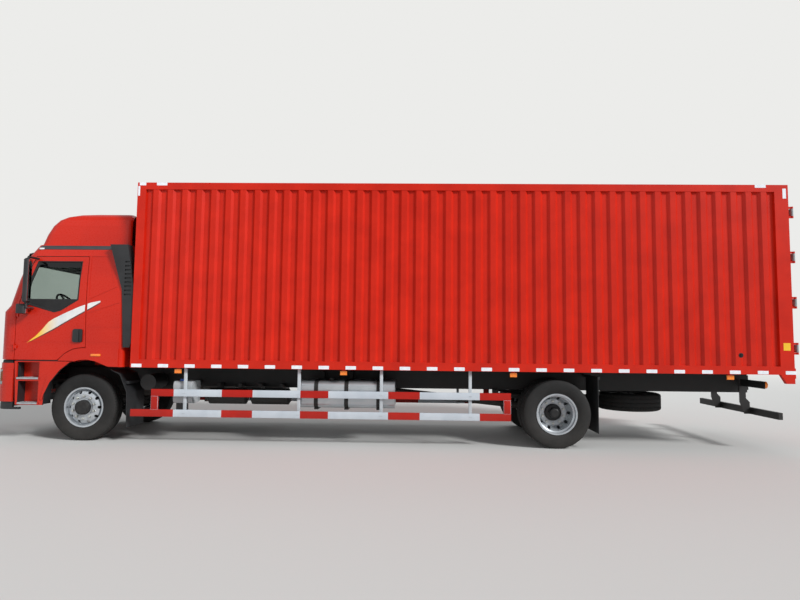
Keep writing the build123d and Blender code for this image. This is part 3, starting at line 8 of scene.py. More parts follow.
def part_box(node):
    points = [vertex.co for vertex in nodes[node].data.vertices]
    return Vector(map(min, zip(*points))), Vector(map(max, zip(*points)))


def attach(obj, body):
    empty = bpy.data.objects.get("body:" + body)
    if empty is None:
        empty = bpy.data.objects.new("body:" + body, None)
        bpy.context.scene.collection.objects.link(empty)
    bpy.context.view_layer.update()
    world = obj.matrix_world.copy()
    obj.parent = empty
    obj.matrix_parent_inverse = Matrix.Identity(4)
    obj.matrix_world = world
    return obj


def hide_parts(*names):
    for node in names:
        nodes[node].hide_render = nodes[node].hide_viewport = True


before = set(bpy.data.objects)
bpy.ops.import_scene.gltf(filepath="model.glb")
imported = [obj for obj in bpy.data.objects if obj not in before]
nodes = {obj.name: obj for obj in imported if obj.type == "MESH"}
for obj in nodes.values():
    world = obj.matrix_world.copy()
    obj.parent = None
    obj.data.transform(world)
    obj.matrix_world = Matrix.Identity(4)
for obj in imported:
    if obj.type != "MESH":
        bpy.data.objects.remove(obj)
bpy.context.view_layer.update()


def middleOf(node):
    low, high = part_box(node)
    return (low + high) / 2


frontAxleX = middleOf("front_tyre_left").x
rearAxleX = middleOf("rear_tyres_left").x
axleZ = middleOf("front_tyre_left").z
print("frame: front axle at", round(frontAxleX, 3), "and rear axle at", round(rearAxleX, 3))


# tools for materials

def linear(hexText):
    # sRGB hex to the linear colour that the shader wants
    values = [int(hexText[i:i + 2], 16) / 255 for i in (1, 3, 5)]
    values = [v / 12.92 if v <= 0.04045 else ((v + 0.055) / 1.055) ** 2.4 for v in values]
    return (values[0], values[1], values[2], 1.0)


def addNode(tree, kind, settings=None):
    # a node with its settings by socket name, socket number or property; a node or an output as a value is linked
    node = tree.nodes.new("ShaderNode" + kind)
    for key, value in (settings or {}).items():
        source = value.outputs[0] if isinstance(value, bpy.types.Node) else value
        if isinstance(source, bpy.types.NodeSocket):
            tree.links.new(source, node.inputs[key])
        elif isinstance(key, int) or key in node.inputs:
            node.inputs[key].default_value = source
        else:
            setattr(node, key, source)
    return node


dustColour = "#8F857A"


def finishShader(tree, look):
    # one opaque finish: two close colours in soft patches, road dust low down, fine grain and slow waviness
    where = addNode(tree, "TexCoord").outputs["Object"]
    drift = addNode(tree, "TexNoise", {"Scale": 1000 / look["driftMm"], "Detail": 3.0, "Roughness": 0.55,
                                       "Vector": where})
    spread = addNode(tree, "MapRange", {"From Min": 0.35, "From Max": 0.65, "Value": drift})
    colour = addNode(tree, "Mix", {"data_type": "RGBA", 6: linear(look["colour"]), 7: linear(look["second"]),
                                   0: spread}).outputs[2]
    if "dust" in look:
        amount, height = look["dust"]
        split = addNode(tree, "SeparateXYZ", {"Vector": where}).outputs
        low = addNode(tree, "MapRange", {"From Min": height, "From Max": height - 0.9, "Value": split["Z"]})
        patch = addNode(tree, "TexNoise", {"Scale": 7.0, "Detail": 6.0, "Roughness": 0.6, "Vector": where})
        patchy = addNode(tree, "Math", {"operation": "MULTIPLY", 0: low, 1: patch})
        share = addNode(tree, "Math", {"operation": "MULTIPLY", 0: patchy, 1: amount})
        colour = addNode(tree, "Mix", {"data_type": "RGBA", 7: linear(dustColour), 0: share, 6: colour}).outputs[2]
    grain = addNode(tree, "TexNoise", {"Scale": 1000 / look["grainMm"], "Detail": 2.0, "Vector": where})
    middle, reach = look["roughness"], look["roughSpread"]
    rough = addNode(tree, "MapRange", {"To Min": middle - reach, "To Max": middle + reach, "Value": grain})
    wave = addNode(tree, "Bump", {"Strength": look.get("wave", 0.05), "Distance": 0.01, "Height": drift})
    bump = addNode(tree, "Bump", {"Strength": look["grain"], "Distance": 0.001, "Height": grain, "Normal": wave})
    return addNode(tree, "BsdfPrincipled", {
        "Base Color": colour, "Roughness": rough, "Normal": bump, "Metallic": look.get("metallic", 0.0),
        "Coat Weight": look.get("coat", 0.0), "Coat Roughness": 0.08, "IOR": look.get("ior", 1.5),
        "Sheen Weight": look.get("sheen", 0.0), "Specular IOR Level": look.get("specular", 0.5),
        "Emission Color": linear(look["colour"]), "Emission Strength": look.get("glow", 0.0)})


def newMaterial(name, build):
    material = bpy.data.materials.new(name)
    material.use_nodes = True
    tree = material.node_tree
    tree.nodes.clear()
    addNode(tree, "OutputMaterial", {"Surface": build(tree)})
    return material


def coating(colour, second, driftMm, roughness, roughSpread, grainMm, grain, **more):
    # the values of one finish: two close colours and the size of their patches, roughness and its spread, and the
    # size and depth of the grain; dust is how much of it lies there, and up to which height
    return dict(colour=colour, second=second, driftMm=driftMm, roughness=roughness, roughSpread=roughSpread,
                grainMm=grainMm, grain=grain, **more)


# Finishes, each from what the real one is. Patterns are in millimetres.
finishes = {
    # two-pack polyurethane topcoat, sprayed: deep red with a clear wet edge and a faint orange peel
    "cabTopcoat": coating("#C6220B", "#BA1D09", 900, 0.28, 0.04, 16, 0.03, coat=0.12, specular=0.22,
                          dust=(0.1, 1.4)),
    # alkyd enamel on pressed steel sheet: the sheet is a little wavy, so the gloss breaks up
    "boxEnamel": coating("#CC240F", "#BE1F0C", 420, 0.4, 0.06, 20, 0.05, specular=0.22, wave=0.14,
                         dust=(0.06, 1.5)),
    # the same enamel on the guards, flatter from stone chips
    "guardRed": coating("#B31A0F", "#A5160C", 300, 0.45, 0.06, 8, 0.06, specular=0.25, dust=(0.15, 0.9)),
    # white alkyd enamel: cool and slightly chalky
    "guardWhite": coating("#C6CED6", "#B9C2CB", 300, 0.45, 0.06, 8, 0.06, dust=(0.25, 0.9)),
    # grey primer paint on the guard posts
    "postGrey": coating("#C2C8CD", "#B0B7BC", 200, 0.5, 0.06, 8, 0.06, dust=(0.3, 1.1)),
    # black chassis paint: thick, half matt, dulled by dust
    "chassisBlack": coating("#0F0F10", "#151516", 250, 0.55, 0.1, 9, 0.15, dust=(0.08, 1.2)),
    # cast iron as poured: dark brown grey and grainy
    "castIron": coating("#2B2A29", "#363331", 120, 0.7, 0.1, 5, 0.4, dust=(0.3, 1.2)),
    # vulcanised tyre rubber: carbon black with a dull bloom
    "tyreRubber": coating("#131313", "#1B1B1B", 160, 0.82, 0.08, 6, 0.25, dust=(0.1, 0.9)),
    # silver lacquer over steel: fine metal flake, soft reflections
    "wheelSilver": coating("#BFC4C9", "#AEB4B9", 90, 0.36, 0.06, 5, 0.08, metallic=0.5, dust=(0.15, 0.9)),
    # black oxide and grease on the hub
    "hubDark": coating("#232324", "#302F2E", 60, 0.5, 0.12, 4, 0.3, metallic=0.3),
    # zinc plated nuts: bright, slightly blue
    "zincPlate": coating("#C9CBC8", "#B7B8B1", 20, 0.3, 0.08, 3, 0.1, metallic=0.9),
    # mill finish aluminium sheet of the tank: bright, soft reflections
    "tankAluminium": coating("#CDD1D4", "#BEC3C7", 350, 0.33, 0.05, 6, 0.06, metallic=0.7, dust=(0.2, 0.8)),
    # aluminised steel of the silencer: dull and blotchy
    "aluminisedSteel": coating("#77787A", "#66625E", 140, 0.5, 0.1, 6, 0.12, metallic=0.7, dust=(0.35, 1.1)),
    # moulded polypropylene, black, with a fine leather grain
    "mouldedBlack": coating("#1C1D1F", "#262729", 260, 0.52, 0.07, 4, 0.25, ior=1.49),
    # moulded polyethylene, light grey: waxy
    "mouldedGrey": coating("#B4B8BB", "#A6AAAD", 160, 0.5, 0.06, 5, 0.1, dust=(0.2, 1.0)),
    # dark grey moulded trim inside the cab
    "trimGrey": coating("#4A4B4D", "#3F4042", 180, 0.6, 0.06, 4, 0.2, ior=1.49),
    # satin grey strip along the roof's edge
    "stripGrey": coating("#3B3D40", "#323437", 300, 0.4, 0.05, 6, 0.06),
    # retroreflective tape: cool white, glass beads under film, with a faint painted glow standing in for the
    # beads' bright reflection
    "tapeWhite": coating("#E9EDF3", "#DDE2EA", 60, 0.28, 0.05, 6, 0.08, glow=0.05),
    # cut vinyl film: the yellow end of the door's stripe
    "vinylYellow": coating("#F2C22C", "#EDB51F", 200, 0.3, 0.04, 10, 0.02, coat=0.3),
    # cut vinyl film: the pale part of the stripe
    "vinylWhite": coating("#E6E6E4", "#D3D5D6", 200, 0.3, 0.04, 10, 0.02, coat=0.3),
    # cut vinyl film: the stripe's dark edge
    "vinylDark": coating("#33161A", "#2B1215", 200, 0.3, 0.04, 10, 0.02, coat=0.3),
    # woven polyester seat cover: soft, with the weave drawn at 4 mm, coarser than the real 1 mm, so that it shows
    "seatFabric": coating("#3A3C40", "#45474B", 60, 0.9, 0.05, 4, 0.5, sheen=0.4),
    # hot-dip galvanised lock rods: pale spangled zinc
    "galvanised": coating("#A9ADAF", "#989DA0", 45, 0.42, 0.08, 4, 0.1, metallic=0.7),
    # rolled aluminium tread plate
    "treadPlate": coating("#B9BDC0", "#A8ADB0", 70, 0.35, 0.08, 5, 0.1, metallic=0.7),
    # phenolic faced plywood of the load floor: brown with a dull film
    "floorPly": coating("#6F5337", "#60462D", 180, 0.6, 0.08, 7, 0.25),
    # moulded blue filler cap
    "capBlue": coating("#1E4FA3", "#1A458F", 60, 0.45, 0.04, 3, 0.1),
    # amber moulded acrylic lens
    "lensAmber": coating("#EE8526", "#E2731A", 30, 0.16, 0.03, 6, 0.15, coat=0.5, glow=0.12),
    # white moulded acrylic of the small roof lamps
    "lampWhite": coating("#E4E6E8", "#D8DBDE", 30, 0.2, 0.03, 6, 0.1, coat=0.4, glow=0.1),
    # red moulded acrylic lens
    "lensRed": coating("#B81418", "#A60F13", 30, 0.16, 0.03, 6, 0.15, coat=0.5, glow=0.05),
    # vacuum metallised reflector: bright
    "reflector": coating("#D9DCDF", "#CFD3D6", 40, 0.12, 0.03, 9, 0.05, metallic=1.0),
    # silvered mirror glass
    "mirrorGlass": coating("#DDE2E4", "#D3D9DC", 200, 0.05, 0.01, 20, 0.01, metallic=1.0),
    # extruded rubber seal: matt black
    "sealRubber": coating("#151516", "#1C1C1D", 90, 0.7, 0.06, 4, 0.15),
}
library = {}
for name, values in finishes.items():
    library[name] = newMaterial(name, lambda tree, values=values: finishShader(tree, values))


def paneShader(tree, tint, roughness, clear):
    # a thin tinted pane that still mirrors the surroundings
    through = addNode(tree, "BsdfTransparent", {"Color": linear(tint)})
    gloss = addNode(tree, "BsdfPrincipled", {"Base Color": linear("#0B0C0D"), "Roughness": roughness})
    edge = addNode(tree, "LayerWeight", {"Blend": 0.16}).outputs["Facing"]
    share = addNode(tree, "MapRange", {"To Min": 1 - clear, "To Max": 0.85, "Value": edge})
    return addNode(tree, "MixShader", {0: share, 1: through, 2: gloss})


panes = {
    # float glass, faint green
    "cabGlass": dict(tint="#EDF2EF", roughness=0.03, clear=0.96),
    # smoked acrylic of the visor
    "smokedAcrylic": dict(tint="#2A2B2D", roughness=0.05, clear=0.35),
    # clear polycarbonate over the headlamps
    "lampCover": dict(tint="#F4F6F7", roughness=0.03, clear=0.9),
}
for name, values in panes.items():
    library[name] = newMaterial(name, lambda tree, values=values: paneShader(tree, **values))


def twoFinishes(tree, first, second, mask):
    # the first finish where the mask is 0, the second where it is 1
    parts = [finishShader(tree, finishes[name]) for name in (first, second)]
    return addNode(tree, "MixShader", {0: mask, 1: parts[0], 2: parts[1]})


def linedShader(tree):
    # the cab is red outside, and a face that looks towards its middle wears the grey lining
    place = addNode(tree, "TexCoord").outputs
    split = addNode(tree, "SeparateXYZ", {"Vector": place["Object"]}).outputs
    away = addNode(tree, "VectorMath", {"operation": "SUBTRACT", 0: place["Object"], 1: cabMiddle})
    turned = addNode(tree, "VectorMath", {"operation": "DOT_PRODUCT", 0: away, 1: place["Normal"]})
    facing = addNode(tree, "Math", {"operation": "LESS_THAN", 0: turned.outputs["Value"], 1: 0.0})
    beside = addNode(tree, "Math", {"operation": "ABSOLUTE", 0: split["Y"]})
    near = addNode(tree, "Math", {"operation": "LESS_THAN", 0: beside, 1: liningReach})
    inside = addNode(tree, "Math", {"operation": "MULTIPLY", 0: facing, 1: near})
    return twoFinishes(tree, "cabTopcoat", "trimGrey", inside)


def wheelShader(tree, axleX, hubRadius, backY):
    # a silver wheel with a dark hub, and a dark drum behind its disc
    place = addNode(tree, "TexCoord").outputs["Object"]
    split = addNode(tree, "SeparateXYZ", {"Vector": place}).outputs
    flat = addNode(tree, "VectorMath", {"operation": "MULTIPLY", 0: place, 1: (1, 0, 1)})
    away = addNode(tree, "VectorMath", {"operation": "SUBTRACT", 0: flat, 1: (axleX, 0, axleZ)})
    reach = addNode(tree, "VectorMath", {"operation": "LENGTH", 0: away}).outputs["Value"]
    beside = addNode(tree, "Math", {"operation": "ABSOLUTE", 0: split["Y"]})
    behind = addNode(tree, "Math", {"operation": "LESS_THAN", 0: beside, 1: backY})
    within = addNode(tree, "Math", {"operation": "LESS_THAN", 0: reach, 1: drumRadius})
    drum = addNode(tree, "Math", {"operation": "MULTIPLY", 0: behind, 1: within})
    hub = addNode(tree, "Math", {"operation": "LESS_THAN", 0: reach, 1: hubRadius})
    dark = addNode(tree, "Math", {"operation": "MAXIMUM", 0: hub, 1: drum})
    return twoFinishes(tree, "wheelSilver", "hubDark", dark)


def heightShader(tree, below, above, height):
    # one finish up to a height, another above it
    place = addNode(tree, "TexCoord").outputs["Object"]
    split = addNode(tree, "SeparateXYZ", {"Vector": place}).outputs
    higher = addNode(tree, "Math", {"operation": "GREATER_THAN", 0: split["Z"], 1: height})
    return twoFinishes(tree, below, above, higher)


def fadeShader(tree, front, rear, frontX, rearX):
    # one finish at a front place that turns into another towards the rear
    place = addNode(tree, "TexCoord").outputs["Object"]
    split = addNode(tree, "SeparateXYZ", {"Vector": place}).outputs
    fade = addNode(tree, "MapRange", {"From Min": frontX, "From Max": rearX, "Value": split["X"]})
    return twoFinishes(tree, front, rear, fade)


cabMiddle = (frontAxleX + 0.3, 0, 2.0)
# the cab's lining lies nearer to the middle plane than this
liningReach = 1.19
drumRadius = 0.212
mixtures = {
    # the stripe: yellow at its front, silver white behind
    "vinylFade": lambda tree: fadeShader(tree, "vinylYellow", "vinylWhite", frontAxleX + 0.66, frontAxleX + 0.36),
    "linedCab": linedShader,
    # hub radius, and how far out the drum's side ends
    "frontWheelSteel": lambda tree: wheelShader(tree, frontAxleX, 0.112, 1.07),
    "rearWheelSteel": lambda tree: wheelShader(tree, rearAxleX, 0.128, 0.915),
    # black bearers below, plywood above
    "plyOnSteel": lambda tree: heightShader(tree, "chassisBlack", "floorPly", 1.2),
}
for name, build in mixtures.items():
    library[name] = newMaterial(name, build)
print("materials:", len(library))

# which finish each solid wears all over
worn = {
    "chassisBlack": ["chassis_frame", "leaf_springs", "front_axle", "rear_axle", "air_tanks", "spare_rim",
                     "rear_underrun", "tie_rod"],
    "plyOnSteel": ["box_floor"],
    "castIron": ["engine_block", "driveline", "knuckle_left", "knuckle_right"],
    "linedCab": ["cab_door_left", "cab_door_right"],
    "cabTopcoat": ["roof_deflector"],
    "boxEnamel": ["box_wall_left", "box_wall_right", "box_front_wall", "box_roof", "box_rear_frame"],
    "guardWhite": ["side_guards"],
    "frontWheelSteel": ["front_wheel_left", "front_wheel_right"],
    "rearWheelSteel": ["rear_wheels_left", "rear_wheels_right"],
    "tyreRubber": ["front_tyre_left", "front_tyre_right", "rear_tyres_left", "rear_tyres_right", "spare_tyre"],
    "mouldedBlack": ["mudguards", "grille_lid", "side_fairings", "door_handle_left", "door_handle_right"],
    "aluminisedSteel": ["exhaust_silencer"],
    "cabGlass": ["windscreen", "door_glass_left", "door_glass_right"],
    "smokedAcrylic": ["sun_visor"],
    "seatFabric": ["seats"],
    "trimGrey": ["dashboard"],
}
for finish, names in worn.items():
    for name in names:
        nodes[name].data.materials.clear()
        nodes[name].data.materials.append(library[finish])
print("solids dressed:", sum(len(names) for names in worn.values()))


sides = ((1, "left"), (-1, "right"))


# tools for shapes

def makePiece(name, bm, finishNames, body, stands=(), sharp=35):
    # turns a mesh that is being built into a piece of the truck
    bmesh.ops.recalc_face_normals(bm, faces=bm.faces)
    mesh = bpy.data.meshes.new(name)
    bm.to_mesh(mesh)
    bm.free()
    for finish in finishNames:
        mesh.materials.append(library[finish])
    mesh.shade_smooth()
    mesh.set_sharp_from_angle(angle=math.radians(sharp))
    piece = bpy.data.objects.new(name, mesh)
    bpy.context.scene.collection.objects.link(piece)
    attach(piece, body)
    if stands:
        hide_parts(*stands)
    return piece


def addLoft(bm, rings, finish=0, around=True, capped=False):
    # faces between rings of points, one ring after the other
    rows = [[bm.verts.new(point) for point in ring] for ring in rings]
    count = len(rows[0])
    for near, far in zip(rows, rows[1:]):
        for k in range(count if around else count - 1):
            face = bm.faces.new((near[k], near[(k + 1) % count], far[(k + 1) % count], far[k]))
            face.material_index = finish
    if capped:
        for row in (rows[0], rows[-1]):
            bm.faces.new(row).material_index = finish
    return rows


def addBlock(bm, low, high, edge=0.002, finish=0, steps=2):
    # a block with rounded edges between two corners
    x0, y0, z0 = low
    x1, y1, z1 = high
    sections = [[(x0, y0, z), (x1, y0, z), (x1, y1, z), (x0, y1, z)] for z in (z0, z1)]
    rows = addLoft(bm, sections, finish, capped=True)
    if edge:
        corners = set(rows[0] + rows[1])
        edges = {e for v in corners for e in v.link_edges}
        bmesh.ops.bevel(bm, geom=list(edges), offset=edge, segments=steps, affect="EDGES", profile=0.5)


def turnedRing(centre, axis, along, radii):
    # points round an axis, one for each radius
    ring = []
    for k, radius in enumerate(radii):
        angle = 2 * math.pi * k / len(radii)
        a, b = radius * math.cos(angle), radius * math.sin(angle)
        ring.append(Vector(centre) + Vector({"x": (along, a, b), "y": (a, along, b), "z": (a, b, along)}[axis]))
    return ring


def addTurned(bm, profile, centre, axis, steps=48, finish=0, capped=False, flip=1):
    # a turned form: the profile holds distance along the axis and radius
    rings = [turnedRing(centre, axis, along * flip, [radius] * steps) for along, radius in profile]
    addLoft(bm, rings, finish, capped=capped)


def addTube(bm, points, radius, sides=12, finish=0):
    # a round bar through points, with its ends closed
    points = [Vector(p) for p in points]
    rings = []
    side = None
    for k, point in enumerate(points):
        ahead = (points[min(k + 1, len(points) - 1)] - points[max(k - 1, 0)]).normalized()
        if side is None:
            side = ahead.orthogonal().normalized()
        side = (side - ahead * side.dot(ahead)).normalized()
        other = ahead.cross(side)
        turns = [2 * math.pi * n / sides for n in range(sides)]
        rings.append([point + side * (radius * math.cos(t)) + other * (radius * math.sin(t)) for t in turns])
    addLoft(bm, rings, finish, capped=True)


def addPrism(bm, outline, place, near, far, finish=0, edge=0.0):
    # an outline drawn from near to far; place turns two numbers of the outline and a depth into a point
    rows = addLoft(bm, [[place(a, b, depth) for a, b in outline] for depth in (near, far)], finish, capped=True)
    if edge:
        edges = {e for v in rows[0] + rows[1] for e in v.link_edges}
        loops = [e for e in edges if (e.verts[0] in rows[0]) == (e.verts[1] in rows[0])]
        bmesh.ops.bevel(bm, geom=loops, offset=edge, segments=2, affect="EDGES", profile=0.5)


def roundedOutline(width, height, radius, steps=4):
    # a rectangle with rounded corners about the middle
    points = []
    for cornerX, cornerY, start in ((1, 1, 0), (-1, 1, 90), (-1, -1, 180), (1, -1, 270)):
        for k in range(steps + 1):
            angle = math.radians(start + 90 * k / steps)
            points.append((cornerX * (width / 2 - radius) + radius * math.cos(angle),
                           cornerY * (height / 2 - radius) + radius * math.sin(angle)))
    return points


def placer(x, y, z, side=1):
    # for addPrism: turns an outline's two numbers and a depth into a point beside the truck
    return lambda a, b, depth: Vector((x + a, side * (y + depth), z + b))


def spaced(first, last, count):
    # evenly spaced numbers from first to last
    return [first + (last - first) * k / (count - 1) for k in range(count)]


def sideBlock(bm, side, xs, ys, zs, edge=0.003, finish=0, steps=2):
    # a block on one side of the truck: from and to, ahead of the front axle, from the middle plane and in height
    y0, y1 = sorted((side * ys[0], side * ys[1]))
    addBlock(bm, (frontAxleX + xs[0], y0, zs[0]), (frontAxleX + xs[1], y1, zs[1]), edge, finish, steps)


trees = {}
# rays start this far out beside the truck, and this far ahead of the front axle
beyondSide = 1.6
beyondFront = 3


def landing(node, start, direction, lift):
    # where a straight line from a point meets a solid, lifted off it a little; None where it misses
    if node not in trees:
        source = bmesh.new()
        source.from_mesh(nodes[node].data)
        trees[node] = BVHTree.FromBMesh(source)
        source.free()
    direction = Vector(direction).normalized()
    place = trees[node].ray_cast(Vector(start), direction)[0]
    return None if place is None else place - direction * lift


def sidePoint(node, side, x, z, lift=0):
    return landing(node, (x, side * beyondSide, z), (0, -side, 0), lift)


def frontPoint(node, y, z, lift=0):
    return landing(node, (frontAxleX + beyondFront, y, z), (-1, 0, 0), lift)


def addSheet(bm, rows, finish=0):
    # faces between rows of points; where a point is missing the sheet has a hole
    made = [[None if p is None else bm.verts.new(p) for p in row] for row in rows]
    for near, far in zip(made, made[1:]):
        for k in range(len(near) - 1):
            corners = (near[k], near[k + 1], far[k + 1], far[k])
            if None not in corners:
                bm.faces.new(corners).material_index = finish


def addBand(bm, node, first, second, side, lift, finish=0, across=3):
    # a thin skin between two lines beside the truck, laid on a solid's side
    rows = []
    for (x0, z0), (x1, z1) in zip(first, second):
        shares = spaced(0, 1, across + 1)
        rows.append([sidePoint(node, side, x0 + (x1 - x0) * t, z0 + (z1 - z0) * t, lift) for t in shares])
    addSheet(bm, rows, finish)


def divided(points, step):
    # the same closed line with points no further apart than a step
    made = []
    for start, end in zip(points, points[1:] + points[:1]):
        parts = max(1, math.ceil(math.dist(start, end) / step))
        made += [tuple(a + (b - a) * k / parts for a, b in zip(start, end)) for k in range(parts)]
    return made


# tyres: the solid's section with a smoother wall, grooves round the tread and cuts across its shoulders
tyreLook = {"pitches": 72, "cutDepth": 0.007}
# distance from the tyre's middle and radius
tyreWall = [(0.106, 0.2863), (0.109, 0.296), (0.111, 0.306), (0.119, 0.322), (0.1287, 0.340), (0.1335, 0.360),
            (0.1375, 0.380), (0.1397, 0.400), (0.1396, 0.420), (0.1382, 0.438), (0.1355, 0.455), (0.1305, 0.470),
            (0.1235, 0.482), (0.118, 0.4895)]
# the same and whether the cuts reach it
treadStations = [(0.113, 0.4935, 1), (0.104, 0.4965, 1), (0.092, 0.498, 1), (0.0745, 0.498, 1), (0.0738, 0.486, 0),
                 (0.0632, 0.486, 0), (0.0625, 0.498, 1), (0.050, 0.498, 0), (0.020, 0.498, 0), (0.0062, 0.498, 1),
                 (0.0052, 0.486, 0)]
halfTyre = [(y, r, 0) for y, r in tyreWall] + treadStations
tyreProfile = halfTyre + [(-y, r, cut) for y, r, cut in reversed(halfTyre)]


def addTyre(bm, centre, axis):
    # at every fourth step round the tyre the tread is cut in
    rings = []
    for along, radius, cut in tyreProfile:
        pitch = [radius - (tyreLook["cutDepth"] if cut else 0)] + [radius] * 3
        rings.append(turnedRing(centre, axis, along, pitch * tyreLook["pitches"]))
    addLoft(bm, rings)


# node, body, middles, axis
tyrePlaces = []
for node, body, axleX, ys in (("front_tyre_", "front_wheel_", frontAxleX, (0.975,)),
                              ("rear_tyres_", "rear_wheels_", rearAxleX, (1.085, 0.775))):
    for side, label in sides:
        tyrePlaces.append((node + label, body + label, [(axleX, side * y, axleZ) for y in ys], "y"))
tyrePlaces.append(("spare_tyre", "chassis", [middleOf("spare_tyre")], "z"))
for node, body, middles, axis in tyrePlaces:
    bm = bmesh.new()
    for middle in middles:
        addTyre(bm, middle, axis)
    makePiece("treaded_" + node, bm, ["tyreRubber"], body, stands=[node], sharp=28)
print("tyres")

# wheel nuts, hub bolts and valves
nutLook = {"count": 10, "circle": 0.1675, "across": 0.018, "height": 0.024, "start": 18, "bolts": 6,
           "boltCircle": 0.088, "boltFace": 0.0655}
washer = [(0.0005, 0.020), (0.004, 0.0215), (0.005, 0.019)]
hubBolt = [(0, 0.009), (0.006, 0.009), (0.008, 0.007), (0.008, 0.001)]


def onCircle(radius, count, start=0):
    angles = [math.radians(start + 360 * k / count) for k in range(count)]
    return [(radius * math.cos(angle), radius * math.sin(angle)) for angle in angles]


hexagon = onCircle(nutLook["across"], 6)
# wheels, their axle, and the face of the disc from the middle plane
for wheels, axleX, face in (("front_wheel_", frontAxleX, 1.085), ("rear_wheels_", rearAxleX, 0.942)):
    for side, label in sides:
        bm = bmesh.new()
        for x, z in onCircle(nutLook["circle"], nutLook["count"], nutLook["start"]):
            x, z = axleX + x, axleZ + z
            addTurned(bm, washer, (x, side * face, z), "y", 24, 0, flip=side)
            addPrism(bm, hexagon, placer(x, face, z, side), 0.004, nutLook["height"], 0, 0.0015)
        valve = [(axleX + 0.262, side * (face - 0.03), axleZ), (axleX + 0.25, side * (face + 0.012), axleZ)]
        addTube(bm, valve, 0.005, 10, 1)
        if axleX == frontAxleX:
            for x, z in onCircle(nutLook["boltCircle"], nutLook["bolts"]):
                place = (axleX + x, side * (face + nutLook["boltFace"]), axleZ + z)
                addTurned(bm, hubBolt, place, "y", 12, 1, True, side)
        makePiece("wheel_nuts_" + wheels + label, bm, ["zincPlate", "hubDark"], wheels + label)
print("wheel nuts")

# side guards: the same bars as the solid, with rounded edges and painted bands
guardLook = {"outerY": 1.240, "innerY": 1.205, "lowZ": 0.392, "highZ": 0.692, "height": 0.105, "rear": -6.420,
             "upperFront": -1.090, "postInnerY": 1.175, "postHalf": 0.0225, "postTop": 1.115, "edge": 0.004}
rivet = [(0, 0.0075), (0.004, 0.007), (0.006, 0.004), (0.006, 0.001)]
# each band starts at this distance ahead of the front axle: white is 0, red is 1
lowerBands = [(-0.790, 1), (-1.430, 0), (-2.150, 1), (-2.610, 0), (-3.320, 1),
              (-3.735, 0), (-4.620, 1), (-5.085, 0), (-5.965, 1)]
upperBands = [(-1.090, 1)] + lowerBands[1:]
guardPosts = [-1.585, -3.290, -4.515, -5.828]
for side, label in sides:
    bm = bmesh.new()
    g = guardLook
    middleY = side * (g["innerY"] + g["outerY"]) / 2
    outline = roundedOutline(g["outerY"] - g["innerY"], g["height"], g["edge"], 3)
    section = [(middleY + a, b) for a, b in outline]
    for bands, low in ((lowerBands, g["lowZ"]), (upperBands, g["highZ"])):
        cuts = [frontAxleX + start for start, finish in bands] + [frontAxleX + g["rear"]]
        rows = addLoft(bm, [[(x, y, low + g["height"] / 2 + z) for y, z in section] for x in cuts], 1, capped=True)
        for k, (start, finish) in enumerate(bands):
            pair = set(rows[k] + rows[k + 1])
            for face in {face for vert in rows[k] for face in vert.link_faces}:
                if len(face.verts) == 4 and set(face.verts) <= pair:
                    face.material_index = finish
    # the bars' upright ends lie a hair inside the bars, and reach a little into them
    for x in (g["rear"], g["upperFront"] - g["height"]):
        ys = (g["innerY"] + 0.0005, g["outerY"] - 0.0005)
        zs = (g["lowZ"] + g["height"] - 0.002, g["highZ"] + 0.002)
        sideBlock(bm, side, (x, x + g["height"]), ys, zs, finish=1)
    for x in guardPosts:
        xs = (x - g["postHalf"], x + g["postHalf"])
        sideBlock(bm, side, xs, (g["postInnerY"], g["innerY"]), (g["lowZ"], g["postTop"]), finish=2)
        for z in (g["lowZ"] + 0.052, g["highZ"] + 0.052):
            for dx in (-0.012, 0.012):
                place = (frontAxleX + x + dx, side * g["outerY"], z)
                addTurned(bm, rivet, place, "y", 10, 2, True, side)
    makePiece("guard_rails_" + label, bm, ["guardWhite", "guardRed", "postGrey"], "chassis",
              stands=["side_guards"])
print("side guards")

# white reflective tapes along the box
tapeLook = {"first": -0.868, "last": -10.457, "count": 25, "length": 0.155, "height": 0.050, "middleZ": 1.145}
# a film on the box lies between these distances off its side
boxSideY = 1.275
film = (0.0002, 0.0008)
# angle tapes at the top corners: place ahead of the front axle, height, width and height of the tape
cornerTapes = [(-0.850, 3.893, 0.10, 0.045), (-1.144, 3.893, 0.16, 0.045), (-0.795, 3.785, 0.03, 0.15),
               (-10.457, 3.785, 0.05, 0.15), (-10.11, 3.893, 0.16, 0.045)]
for side, label in sides:
    bm = bmesh.new()
    outline = roundedOutline(tapeLook["length"], tapeLook["height"], 0.006, 3)
    for x in spaced(tapeLook["first"], tapeLook["last"], tapeLook["count"]):
        addPrism(bm, outline, placer(frontAxleX + x, boxSideY, tapeLook["middleZ"], side), *film)
    for x, z, width, height in cornerTapes:
        addPrism(bm, roundedOutline(width, height, 0.005, 3), placer(frontAxleX + x, boxSideY, z, side), *film)
    makePiece("tapes_" + label, bm, ["tapeWhite"], "chassis")
print("tapes")


# solids with more than one finish

def paintFaces(node, rules):
    # gives each face of a solid the first finish whose test it meets; the test reads distance ahead of the front
    # axle, distance from the middle plane, height, and the face's direction
    mesh = nodes[node].data
    mesh.materials.clear()
    for finish, test in rules:
        mesh.materials.append(library[finish])
    for face in mesh.polygons:
        x, y, z = face.center
        for index, (finish, test) in enumerate(rules):
            if test(x - frontAxleX, abs(y), z, face.normal):
                face.material_index = index
                break


def anywhere(x, y, z, n):
    return True


def archFacesAndUndersideShade(x, y, z, n):
    # faces round the front wheel that look at it, and the undersides beside it, whose black is painted shade
    away = Vector((-x, 0, axleZ - z))
    inside = y < 1.249 and away.length < 0.98 and n.dot(away.normalized()) > 0.25
    # the undersides are black as painted shade
    return inside or (y < 1.2 and n.z < -0.5 and z < 1.5)


